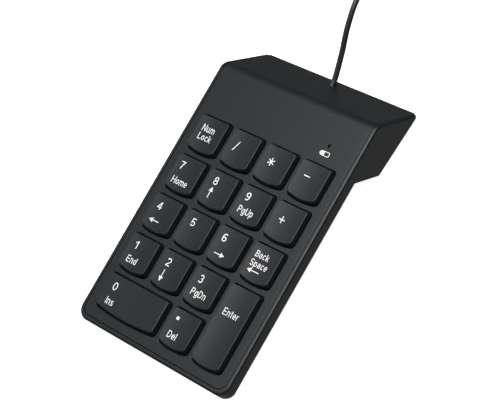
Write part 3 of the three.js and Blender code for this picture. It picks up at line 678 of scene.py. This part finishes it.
def keycaps():
    shared = {}
    for key in KEYS:
        size = LONG.get(key, (0.0, 0.0))
        if size not in shared:
            cap = built("cap", lambda bm: cap_parts(bm, key, size), PLAIN, 45)
            cap.data.materials.append(KEY)
            shared[size] = cap.data
            bpy.data.objects.remove(cap)
        copy_of(shared[size], f"keycap_{key}", (*key_place(key), 0), f"key_{key}",
                f"key_{key}")


# ---- Legends ----
STROKE = 0.125  # stroke width of the lettering, in cap heights
T = STROKE / 2
X_TOP = 0.73 - T  # middle of the top stroke of a small letter
X_MID = (X_TOP + T) / 2
X_RISE = (X_TOP - T) / 2


def stem(x, low=0.0, high=1.0):
    return [(x, low), (x, high)]


def bowl(x, radius=0.21):
    return oval(x, X_MID, radius, X_RISE)


def arch(x0, x1):
    """Arm of n, m and h: up from the stem, over, and down to the base line."""
    over = bow((x0 + x1) / 2, 0.42, (x1 - x0) / 2, X_TOP - 0.42, 180, 0)
    return [(x0, 0.36)] + over + [(x1, 0.0)]


def snake(width, height):
    """The S shape."""
    rise = (height - STROKE) / 4
    across = width / 2 - T
    upper = bow(width / 2, height - T - rise, across, rise, 20, 270)
    return upper + bow(width / 2, T + rise, across, rise, 90, -160)[1:]


def lobe(x, y, rx, ry, low):
    """Right-hand lobe of B, D and P, closing back to the stem."""
    return [(T, y + ry), (x, y + ry)] + bow(x, y, rx, ry, 90, -90) + [(low, y - ry)]


# Each glyph: width, open strokes, and closed strokes where it has any.
GLYPHS = {
    "0": (0.68, [], [oval(0.34, 0.5, 0.27, 0.43)]),
    "1": (0.45, [stem(0.38), [(0.02, 0.74), (0.2, 0.78), (0.35, 0.94)]]),
    "2": (0.68, [bow(0.34, 0.675, 0.26, 0.255, 165, -35) + [(0.10, 0.12)],
                 [(0.04, T), (0.64, T)]]),
    "3": (0.66, [bow(0.32, 0.715, 0.22, 0.215, 155, -85),
                 bow(0.32, 0.295, 0.26, 0.225, 85, -155)]),
    "4": (0.68, [stem(0.49), [(0.46, 0.95), (0.09, 0.29), (0.68, 0.29)]]),
    "5": (0.68, [[(0.61, 0.93), (0.17, 0.93), (0.11, 0.48)]
                 + bow(0.33, 0.315, 0.27, 0.245, 130, -155)]),
    "6": (0.68, [[(0.08, 0.33)] + bow(0.37, 0.52, 0.29, 0.41, 180, 50)],
          [oval(0.34, 0.305, 0.26, 0.235)]),
    "7": (0.66, [[(0.04, 0.93), (0.61, 0.93), (0.38, 0.5), (0.26, 0.0)]]),
    "8": (0.68, [], [oval(0.34, 0.725, 0.22, 0.205), oval(0.34, 0.29, 0.26, 0.22)]),
    "B": (0.66, [stem(T), lobe(0.37, 0.725, 0.205, 0.205, 0.1),
                 lobe(0.37, 0.295, 0.22, 0.225, T)]),
    "D": (0.72, [stem(T), lobe(0.3, 0.5, 0.35, 0.43, T)]),
    "E": (0.62, [stem(T), [(T, 0.93), (0.61, 0.93)], [(T, 0.5), (0.57, 0.5)],
                 [(T, T), (0.62, T)]]),
    "H": (0.74, [stem(T), stem(0.67), [(T, 0.5), (0.67, 0.5)]]),
    "I": (0.14, [stem(T)]),
    "L": (0.57, [[(T, 1.0), (T, T), (0.57, T)]]),
    "N": (0.74, [stem(T), stem(0.67), [(0.09, 0.95), (0.65, 0.05)]]),
    "P": (0.64, [stem(T), lobe(0.35, 0.69, 0.22, 0.24, T)]),
    "S": (0.64, [snake(0.64, 1.0)]),
    "U": (0.72, [[(T, 1.0)] + bow(0.36, 0.34, 0.29, 0.27, 180, 360) + [(0.65, 1.0)]]),
    "a": (0.56, [bow(0.27, 0.47, 0.2, X_TOP - 0.47, 160, 0) + [(0.47, 0.0)],
                 [(0.47, 0.42), (0.26, 0.40)] + bow(0.25, 0.235, 0.18, 0.165, 95, 270)
                 + bow(0.30, 0.24, 0.17, 0.17, 285, 345)]),
    "c": (0.53, [bow(0.28, X_MID, 0.21, X_RISE, 40, 320)]),
    "d": (0.58, [stem(0.51)], [bowl(0.28)]),
    "e": (0.56, [[(T + 0.02, X_MID)] + bow(0.28, X_MID, 0.21, X_RISE, 0, 312)]),
    "g": (0.58, [[(0.51, 0.73), (0.51, -0.06)] + bow(0.29, -0.06, 0.22, 0.15, 0, -150)[1:]],
          [bowl(0.28)]),
    "k": (0.54, [stem(T), [(0.1, 0.25), (0.5, 0.71)], [(0.23, 0.42), (0.5, 0.0)]]),
    "l": (0.14, [stem(T)]),
    "m": (0.88, [stem(T, 0, 0.73), arch(T, 0.44), arch(0.44, 0.81)]),
    "n": (0.56, [stem(T, 0, 0.73), arch(T, 0.49)]),
    "o": (0.58, [], [bowl(0.29, 0.22)]),
    "p": (0.58, [stem(T, -0.27, 0.73)], [bowl(0.30)]),
    "r": (0.36, [stem(T, 0, 0.73), [(T, 0.38)] + bow(0.31, 0.40, 0.24, X_TOP - 0.40, 180, 92)]),
    "s": (0.50, [snake(0.50, 0.73)]),
    "t": (0.34, [[(0.17, 0.93), (0.17, 0.2)] + bow(0.29, 0.2, 0.12, 0.2 - T, 195, 290)[1:],
                 [(0.0, X_TOP), (0.34, X_TOP)]]),
    "u": (0.56, [[(T, 0.73)] + bow(0.28, 0.29, 0.21, 0.29 - T, 180, 360), stem(0.49, 0, 0.73)]),
}
LETTER_GAP = 0.15  # in cap heights
WORD_STROKE = 0.115  # stroke width of words, in cap heights
WORD_WIDTH = 0.9  # words are this much narrower than single digits
LEGEND_SHIFT = 0.27  # all legends sit this far right of their key's centre
INK_ABOVE, INK_BELOW = 0.03, -0.02
ARROW_SHAFT = 0.36

# Texts: string, left end, base line, cap height, in millimetres from the key's centre.
TEXTS = {
    "num_lock": (("Num", -4.6, 0.5, 3.05), ("Lock", -4.6, -3.35, 3.0)),
    "7": (("7", -5.0, 1.0, 3.5), ("Home", -5.0, -5.5, 3.0)),
    "8": (("8", -4.15, 1.1, 3.5),),
    "9": (("9", -4.75, 1.0, 3.5), ("PgUp", -5.0, -4.6, 3.0)),
    "4": (("4", -4.5, 0.75, 3.5),),
    "5": (("5", -3.75, 0.8, 3.5),),
    "6": (("6", -4.65, 1.0, 3.5),),
    "backspace": (("Back", -5.0, 1.6, 2.8), ("Space", -5.35, -2.35, 2.85)),
    "1": (("1", -4.5, 0.95, 3.5), ("End", -4.65, -5.25, 3.0)),
    "2": (("2", -4.4, 0.8, 3.5),),
    "3": (("3", -4.5, 0.95, 3.5), ("PgDn", -4.85, -4.6, 3.0)),
    "0": (("0", -12.85, 0.7, 3.5), ("Ins", -12.5, -5.5, 3.1)),
    "decimal": (("Del", -4.4, -5.15, 3.05),),
    "enter": (("Enter", -4.85, 3.9, 3.0),),
}
# Arrows: tail, tip.
ARROWS = {
    "8": ((-2.95, -5.0), (-2.95, 0.1)), "2": ((-3.05, -0.75), (-3.05, -6.1)),
    "4": ((0.4, -4.1), (-5.0, -4.1)), "6": ((-4.5, -4.4), (0.9, -4.4)),
    "backspace": ((1.0, -4.1), (-5.25, -4.1)),
}
# Plain strokes: points, width.
SIGNS = {
    "divide": ([[(-4.0, -1.8), (-2.2, 2.6)]], 0.42),
    "minus": ([[(-3.7, 1.25), (-0.7, 1.25)]], 0.45),
    "plus": ([[(-3.75, 0.25), (-0.65, 0.25)], [(-2.2, -1.3), (-2.2, 1.8)]], 0.42),
    "multiply": ([[(-2.3 - 1.75 * cos(a), 0.5 - 1.75 * sin(a)),
                   (-2.3 + 1.75 * cos(a), 0.5 + 1.75 * sin(a))]
                  for a in (radians(30), radians(90), radians(150))], 0.42),
    "decimal": ([[(-4.4, 3.5), (-3.0, 3.5)]], 1.35),
}


def finely(points, closed, step=0.8):
    """The same line with no part longer than step."""
    ends = points[1:] + (points[:1] if closed else [])
    result = [points[0]]
    for a, b in zip(points, ends):
        result += straight(a, b, max(1, ceil(dist(a, b) / step))) + [b]
    return result[:-1] if closed else result


def sides_of(points, width, closed):
    """Left and right border of a line of a width, mitred at its corners."""
    count = len(points)
    borders = []
    for i, here in enumerate(points):
        before = Vector(points[i - 1] if i or closed else here)
        after = Vector(points[(i + 1) % count] if i + 1 < count or closed else here)
        here = Vector(here)
        arms = [arm.normalized() for arm in (here - before, after - here) if arm.length > 1e-6]
        normals = [Vector((-arm.y, arm.x)) for arm in arms]
        mitre = sum(normals, Vector((0, 0))).normalized()
        reach = width / 2 / max(mitre.dot(normals[0]), 0.45)
        borders.append((here + mitre * reach, here - mitre * reach))
    return borders


def ink(bm, points, width, height_at, closed=False):
    """A printed stroke: a thin solid ribbon that follows the surface below it."""
    line = finely(points, closed)
    rings = []
    for left, right in sides_of(line, width, closed):
        rings.append([Vector((p.x, p.y, height_at(p.x) + lift))
                      for p, lift in ((left, INK_ABOVE), (right, INK_ABOVE),
                                      (right, INK_BELOW), (left, INK_BELOW))])
    if closed:
        rings.append(rings[0])
    loops = [[bm.verts.new(point) for point in ring] for ring in rings]
    for low, high in zip(loops, loops[1:]):
        for i in range(4):
            bm.faces.new((low[i], low[i - 1], high[i - 1], high[i]))
    if not closed:
        bm.faces.new(loops[0])
        bm.faces.new(loops[-1][::-1])


def write(bm, text, left, base, height, height_at):
    narrow, thick = (1.0, STROKE) if text.isdigit() else (WORD_WIDTH, WORD_STROKE)
    for letter in text:
        half_turned = letter == "9"
        width, *strokes = GLYPHS["6" if half_turned else letter]
        for points, closed in [(line, group > 0) for group, lines in enumerate(strokes)
                               for line in lines]:
            if half_turned:
                points = [(width - x, 1 - y) for x, y in points]
            spots = [(left + x * height * narrow, base + y * height) for x, y in points]
            ink(bm, spots, thick * height, height_at, closed)
        left += (width + LETTER_GAP) * height * narrow


def arrow(bm, tail, tip, height_at, long=2.1, broad=2.15):
    """Thin shaft with a solid head."""
    tail, tip = Vector(tail), Vector(tip)
    along = (tip - tail).normalized()
    neck = tip - along * long
    across = Vector((-along.y, along.x)) * broad / 2
    ink(bm, [tuple(tail), tuple(neck + along * 0.1)], ARROW_SHAFT, height_at)
    corners = [neck + across, tip, neck - across]
    rings_to_mesh(bm, [[Vector((p.x, p.y, height_at(p.x) + lift)) for p in corners]
                       for lift in (INK_BELOW, INK_ABOVE)])


def legend(bm, key):
    wide, _ = LONG.get(key, (0.0, 0.0))

    def height_at(x):
        return dish(x + LEGEND_SHIFT, CAP["half"] + wide)

    for text, left, base, height in TEXTS.get(key, ()):
        write(bm, text, left, base, height, height_at)
    if key in ARROWS:
        arrow(bm, *ARROWS[key], height_at)
    strokes, width = SIGNS.get(key, ((), 0))
    for points in strokes:
        ink(bm, points, width, height_at)


def legends():
    for key in KEYS:
        x, y = key_place(key)
        place = DECK @ Matrix.Translation((x + LEGEND_SHIFT, y, 0))
        obj = built(f"legend_{key}", lambda bm: legend(bm, key), place)
        dress(obj, PRINT, body=f"key_{key}")


def indicator_mark(bm):
    """Printed battery sign beside the lamp: an outlined cell, filled at its round left end."""
    x, y, half, high, line = (ICON[k] for k in ("x", "y", "half", "high", "line"))
    rim = line / 2
    left, right = x - half + rim, x + half - rim
    low, top = y - high + rim, y + high - rim
    nose = 1.3
    outline = [(left + nose, top)] + bow(left + nose, y, nose, high - rim, 90, 270)[1:]
    outline += arc(right - 0.5, low + 0.5, 0.5, 270, 360, 4)
    outline += arc(right - 0.5, top - 0.5, 0.5, 0, 90, 4)
    ink(bm, outline, line, lambda _: 0.0, True)
    for i in range(5):
        row = low + (top - low) * (i + 0.5) / 5
        start = left + nose - nose * sqrt(max(0.0, 1 - ((row - y) / (high - rim)) ** 2))
        start = max(start, left + 0.95) if i == 2 else start
        ink(bm, [(start + 0.1, row), (x - 0.1, row)], (top - low) / 5 + 0.05, lambda _: 0.0)


# ---- Silicone domes ----
def dome(bm, x, y):
    """Dome wall from its outer foot over the crown, then back along the inside."""
    _, top = DOME["sheet"]
    base, crown, high, wall = (DOME[k] for k in ("base", "crown", "height", "wall"))
    slope = [(base - (base - crown) * t + 0.35 * sin(pi * t), top + high * t)
             for t in (i / 8 for i in range(9))]
    inside = [(0, slope[-1][1] - wall)] + [(r - wall, z - wall * 0.3) for r, z in slope[::-1]]
    inside[-1] = (slope[0][0] - wall, slope[0][1])
    lathe_open(bm, slope + [(0, slope[-1][1])] + inside, (x, y))


def lathe_open(bm, profile, place, count=28):
    """A turned shell whose profile closes on itself."""
    rings = turned(profile, place, count)
    rings_to_mesh(bm, rings + rings[:1], False)


def dome_sheet():
    """The flat web, and one dome for each key that collapses under its plunger."""
    low, top = DOME["sheet"]
    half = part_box("support_plate")[1].x / MM
    outline = rounded_rect(-half, half, -49.5, 45.5, 1, 1, 4)
    inside = DOME["base"] - DOME["wall"]
    holes = [oval(*key_place(key), inside, inside) for key in KEYS]
    bm = flat_plate("dome_web", [outline] + holes, top - low, 0.03, 1)
    bmesh.ops.translate(bm, verts=bm.verts, vec=(0, 0, top))
    web = finish_mesh("dome_web", bm, DECK)
    dress(web, SILICONE, "dome_sheet")
    for key in KEYS:
        x, y = key_place(key)
        piece = built(f"dome_{key}", lambda bm: dome(bm, x, y), DECK, 60)
        dress(piece, SILICONE)
        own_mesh(piece)


# ---- Screws and feet ----
def screw_mesh(bm, size):
    """Pan head below, threaded shank above, bearing face at z = 0."""
    head, high, shank, length = (size[k] for k in ("head", "high", "shank", "length"))
    profile = [(0, -high), (head * 0.45, -high), (head * 0.8, -high * 0.86), (head, -high * 0.45),
               (head, 0.0), (shank, 0.0)]
    threads = int(length / THREAD_PITCH)
    for i in range(threads):
        z = (i + 0.5) * length / threads
        profile += [(shank * 0.8, z), (shank, z + 0.2)]
    lathe(bm, profile + [(0, length + 0.1)], count=36)


def screws():
    for group, size in ((SLAB_SCREWS, SLAB_SCREW), (WEDGE_SCREWS, WEDGE_SCREW)):
        master = built("screw", lambda bm: screw_mesh(bm, size), PLAIN, 35)
        for wide, tall in (CROSS_SLOT, CROSS_SLOT[::-1]):
            boolean(master, built("recess", lambda bm: block(
                bm, -wide, wide, -tall, tall, -9, -size["high"] / 2)))
        soften(master, 35)
        master.data.materials.append(STEEL)
        for place, (x, y) in group.items():
            copy_of(master.data, f"screw_{place}", (x, y, size["bearing"]), "root",
                    f"case_screw_{place}")
        bpy.data.objects.remove(master)


def foot(name, node, corner, ribs):
    """Rubber foot inside its CAD block: rounded corners and edges, shallow grooves below."""
    low, high = (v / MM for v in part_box(node))
    nodes = frame["nodes"][node].data.vertices
    front_top = max(v.co.z for v in nodes if v.co.y < (low.y + 0.2) * MM) / MM
    rear_top = max(v.co.z for v in nodes if v.co.y > (high.y - 0.2) * MM) / MM

    def top_at(y):
        return front_top + (rear_top - front_top) * (y - low.y) / (high.y - low.y)

    rings = []
    edge = 0.15
    for inset, up in ((2 * edge, 0.0), (edge, 0.04), (0.0, edge)):
        ring = rounded_rect(low.x + inset, high.x - inset, low.y + inset, high.y - inset,
                            corner - inset, corner - inset, 6)
        rings.append(level(ring, low.z + up))
    ring = rounded_rect(low.x, high.x, low.y, high.y, corner, corner, 6)
    rings.append([Vector((x, y, top_at(y))) for x, y in ring])
    piece = built(name, lambda bm: rings_to_mesh(bm, rings), DESK)
    grooves = [low.x + (high.x - low.x) * (i + 1) / (ribs + 1) for i in range(ribs)]

    def cut(bm):
        for x in grooves:
            block(bm, x - 0.25, x + 0.25, low.y + 1.2, high.y - 1.2, low.z - 1, low.z + 0.12)

    tool = built("grooves", cut)
    tool.data.transform(DESK)
    boolean(piece, tool)
    soften(piece)
    dress(piece, RUBBER, node)


# ---- Cable ----
PLUG = {"foot": Vector((-72, 79.4, 4)), "forward": Vector((-0.95, -0.31, 0)).normalized(),
        "length": 24.0, "half": 8.0, "high": 3.95, "shell_half": 6.0, "shell_high": 2.25,
        "shell": 18.5, "wall": 0.3, "collar": 7.0}
CABLE_PATH = [Vector(p) for p in (
    (0, -10, 4.6), (0, -2, 4.2), (0, 5, 4.5), (0, 16.5, 10.7), (0, 26.5, 17.6), (0, 36.9, 22.4),
    (-1, 48, 22.1), (-5, 60, 15), (-13, 72, 6.4), (-26, 82, 1.9), (-41, 86.5, 1.4),
    (-54, 85.6, 2.4))]
CABLE_PATH += [PLUG["foot"] - PLUG["forward"] * (PLUG["collar"] + 2), PLUG["foot"]]


def smooth_path(points, steps=14):
    """Centripetal Catmull-Rom curve through the points."""
    ends = [points[0] * 2 - points[1]] + points + [points[-1] * 2 - points[-2]]
    path = []
    for p0, p1, p2, p3 in zip(ends, ends[1:], ends[2:], ends[3:]):
        d0, d1, d2 = (sqrt((b - a).length) for a, b in ((p0, p1), (p1, p2), (p2, p3)))
        m1 = ((p1 - p0) / d0 - (p2 - p0) / (d0 + d1) + (p2 - p1) / d1) * d1
        m2 = ((p2 - p1) / d1 - (p3 - p1) / (d1 + d2) + (p3 - p2) / d2) * d1
        for i in range(steps):
            t = i / steps
            path.append(p1 * (2 * t ** 3 - 3 * t ** 2 + 1) + m1 * (t ** 3 - 2 * t ** 2 + t)
                        + p2 * (3 * t ** 2 - 2 * t ** 3) + m2 * (t ** 3 - t ** 2))
    return path + [points[-1]]


def tube(bm, path, radius_at, count=24):
    """Round tube along a path; its side vector is carried along so that it never twists."""
    side = Vector((1, 0, 0))
    rings = []
    for i, here in enumerate(path):
        ahead = (path[min(i + 1, len(path) - 1)] - path[max(i - 1, 0)]).normalized()
        side = (side - ahead * side.dot(ahead)).normalized()
        other = ahead.cross(side)
        radius = radius_at(i)
        rings.append([here + (side * cos(a) + other * sin(a)) * radius
                      for a in (2 * pi * k / count for k in range(count))])
    rings_to_mesh(bm, rings)


def cable():
    path = smooth_path(CABLE_PATH)
    piece = built("cable_lead", lambda bm: tube(bm, path, lambda _: CABLE_RADIUS), DESK, 60)
    dress(piece, JACKET, "cable")


# ---- Plug ----
def plug_axes():
    """Plug's own axes in desk axes: x across, y up, z out of the grip towards the contacts."""
    up = Vector((0, 0, 1))
    across = up.cross(PLUG["forward"])
    turn = Matrix((across, up, PLUG["forward"])).transposed().to_4x4()
    return DESK @ Matrix.Translation(PLUG["foot"]) @ turn


def lofted(name, sections, matrix, sharp=40):
    """Loft of rounded rectangles: (half width, half height, corner, z)."""
    rings = [level(rounded_rect(-w, w, -h, h, r, r, 6), z) for w, h, r, z in sections]
    return built(name, lambda bm: rings_to_mesh(bm, rings), matrix, sharp)


def plug_grip(axes):
    """Moulded grip: rounded ends and five shallow finger grooves round its sides."""
    half, high, length = PLUG["half"], PLUG["high"], PLUG["length"]
    sections = [(half - 1.6, high - 1.2, 2.4, 0.0), (half - 0.7, high - 0.5, 2.4, 0.3),
                (half - 0.2, high - 0.1, 2.4, 0.9), (half, high, 2.4, 1.8)]
    for i in range(5):
        z = 6 + 2.2 * i
        sections += [(half, high, 2.4, z - 0.5), (half - 0.35, high - 0.02, 2.2, z),
                     (half, high, 2.4, z + 0.5)]
    sections += [(half, high, 2.4, length - 1.0), (half - 0.25, high - 0.25, 2.2, length - 0.25),
                 (half - 0.7, high - 0.6, 1.9, length)]
    grip = lofted("plug_body", sections, PLAIN)
    pocket = lofted("pocket", [(6.1, 2.35, 0.4, length - 3), (6.1, 2.35, 0.4, length + 1)], PLAIN)
    boolean(grip, pocket)
    placed(grip, axes)
    dress(grip, INNER, "plug_grip")


def strain_relief(bm):
    """Ribbed sleeve behind the grip."""
    profile = [(CABLE_RADIUS + 0.05, -PLUG["collar"])]
    ribs = 6
    for i in range(ribs):
        z = -PLUG["collar"] + i * PLUG["collar"] / ribs
        radius = CABLE_RADIUS + 0.75 + 0.15 * i
        profile += [(radius, z), (radius, z + 0.75), (radius - 0.35, z + 0.85),
                    (radius - 0.35, z + 1.1)]
    profile += [(CABLE_RADIUS + 1.7, 0.2), (CABLE_RADIUS + 0.05, 0.2)]
    lathe_open(bm, profile, (0, 0), 32)


def plug_shell(axes):
    """Folded steel shell with a seam and two windows above and below."""
    w, h, wall = PLUG["shell_half"], PLUG["shell_high"], PLUG["wall"]
    start, end = PLUG["length"] - 2.9, PLUG["length"] + PLUG["shell"]
    rings = []
    for inset, z in ((0, start), (0, end - 0.25), (0.12, end), (wall, end), (wall, start)):
        corner = 0.6 - min(inset, 0.35)
        rings.append(level(rounded_rect(-w + inset, w - inset, -h + inset, h - inset,
                                        corner, corner, 5), z))
    rings.append(rings[0])
    shell = built("plug_sleeve", lambda bm: rings_to_mesh(bm, rings, False), PLAIN, 35)

    def windows(bm):
        for x in (-3, 3):
            block(bm, x - 1.2, x + 1.2, -h - 1, h + 1, end - 8, end - 5.8)

    boolean(shell, built("windows", windows))
    seam = (-0.06, 0.06, -h - 1, -h + 1, start - 1, end + 1)
    boolean(shell, built("seam", lambda bm: block(bm, *seam)))
    placed(shell, axes, 35)
    dress(shell, NICKEL, "plug_shell")


def plug_tongue(axes):
    """Contact carrier with four gilt strips."""
    w = PLUG["shell_half"] - PLUG["wall"] - 0.15
    high = PLUG["shell_high"] - PLUG["wall"] - 0.1
    low = high - 1.9
    start, end = PLUG["length"] - 2.8, PLUG["length"] + PLUG["shell"] - 0.8
    tongue = built("contact_carrier", lambda bm: block(bm, -w, w, low, high, start, end), PLAIN)
    bevelled(tongue, 0.2)
    placed(tongue, axes)
    dress(tongue, INNER, "plug_tongue")
    for i, x in enumerate((-3.5, -1.0, 1.0, 3.5)):
        reach = end - (1.0 if abs(x) > 2 else 2.0)
        contact = built(f"plug_contact_{i + 1}",
                        lambda bm: block(bm, x - 0.5, x + 0.5, low - 0.08, low + 0.1,
                                         start, reach))
        bevelled(contact, 0.06)
        placed(contact, axes)
        dress(contact, GOLD)


# ---- Stage ----
def stage_floor():
    """Plain white floor. Only the camera sees it, so it throws no light back at the keypad."""
    bm = bmesh.new()
    bmesh.ops.create_grid(bm, x_segments=1, y_segments=1, size=3.0)
    floor = finish_mesh("floor", bm, PLAIN)
    n = Nodes("floor")
    preset(n.shader, Base_Color=(0.8, 0.8, 0.8, 1), Roughness=1.0, Specular_IOR_Level=0.0,
           Emission_Color=(1, 1, 1, 1), Emission_Strength=0.92)
    floor.data.materials.append(n.material)
    floor.visible_diffuse = False
    floor.visible_glossy = False


def area_light(name, place, target, size, power):
    light = bpy.data.lights.new(name, "AREA")
    light.energy = power
    light.size = size
    obj = add_object(name, light)
    obj.location = place
    obj.rotation_mode = "QUATERNION"
    obj.rotation_quaternion = (Vector(target) - Vector(place)).to_track_quat("-Z", "Y")


def world_light(stops):
    """Soft surroundings; stops are pairs of height, -1 below to 1 overhead, and brightness."""
    world = bpy.data.worlds.new("world")
    world.use_nodes = True
    tree = world.node_tree
    place = tree.nodes.new("ShaderNodeTexCoord")
    split = tree.nodes.new("ShaderNodeSeparateXYZ")
    ramp = tree.nodes.new("ShaderNodeValToRGB")
    lift = preset(tree.nodes.new("ShaderNodeMapRange"), From_Min=-1.0)
    tree.links.new(place.outputs["Generated"], split.inputs["Vector"])
    tree.links.new(split.outputs["Z"], lift.inputs["Value"])
    tree.links.new(lift.outputs["Result"], ramp.inputs["Fac"])
    tree.links.new(ramp.outputs["Color"], tree.nodes["Background"].inputs["Color"])
    points = ramp.color_ramp.elements
    for i, (height, bright) in enumerate(stops):
        point = points[i] if i < 2 else points.new(1.0)
        point.position = (height + 1) / 2
        point.color = (bright, bright, bright, 1)
    bpy.context.scene.world = world


def studio():
    area_light("soft_box", (0.02, 0.12, 0.7), (0.02, 0.12, 0), 0.8, 4.5)
    area_light("left_light", (-1.1, -0.1, 0.2), (0, -0.05, 0), 0.45, 1.4)
    area_light("right_light", (0.36, 0.0, 0.78), (0, -0.05, 0), 0.35, 2.0)
    world_light(((-1.0, 0.36), (-0.45, 0.16), (-0.2, 0.06), (0.15, 0.1), (0.7, 0.22), (1.0, 0.55)))
    bpy.context.scene.view_settings.view_transform = "Standard"


CAMERA = {"azimuth": 73.84, "elevation": 50.44, "roll": -43.77, "aim": (6.35, 21.04, 0),
          "distance": 0.7336, "lens": 131.2, "sensor": 36}


def camera():
    """Three-quarter view from the right, rolled so that the keypad leans across the picture."""
    azimuth, elevation, roll = (radians(CAMERA[k]) for k in ("azimuth", "elevation", "roll"))
    aim = DECK @ Vector(CAMERA["aim"])
    back = Vector((sin(azimuth) * cos(elevation),
                   -cos(azimuth) * cos(elevation), sin(elevation)))
    data = bpy.data.cameras.new("camera")
    data.sensor_width = CAMERA["sensor"]
    data.lens = CAMERA["lens"]
    data.clip_start = 0.05
    obj = add_object("camera", data)
    turn = (-back).to_track_quat("-Z", "Y").to_matrix().to_4x4()
    obj.matrix_world = (Matrix.Translation(aim + back * CAMERA["distance"]) @ turn
                        @ Matrix.Rotation(roll, 4, "Z"))
    bpy.context.scene.camera = obj


CAD_LOOKS = {
    "key_frame": INNER, "membrane_top": FILM, "membrane_spacer": FILM, "membrane_bottom": FILM,
    "support_plate": STEEL, "controller_board": BOARD, "controller_chip": CHIP,
    "status_led": LENS, "light_pipe": LIGHT_PIPE_SHADE, "tail_clamp": INNER, "cable_clamp": INNER, **LEADS,
}


def dress_cad():
    for name, obj in frame["nodes"].items():
        obj.data.materials.clear()
        obj.data.materials.append(CAD_LOOKS.get(name, STEEL))


dress_cad()
top_cover()
bottom_cover()
keycaps()
legends()
dress(built("indicator_mark", indicator_mark, DECK), PRINT)
dome_sheet()
screws()
foot("rear_rubber_foot", "rear_foot", 2.0, 12)
foot("front_rubber_foot_left", "front_foot_left", 1.2, 3)
foot("front_rubber_foot_right", "front_foot_right", 1.2, 3)
cable()
along_plug = plug_axes()
plug_grip(along_plug)
dress(built("cable_strain_relief", strain_relief, along_plug, 35), INNER)
plug_shell(along_plug)
plug_tongue(along_plug)
stage_floor()
studio()
camera()
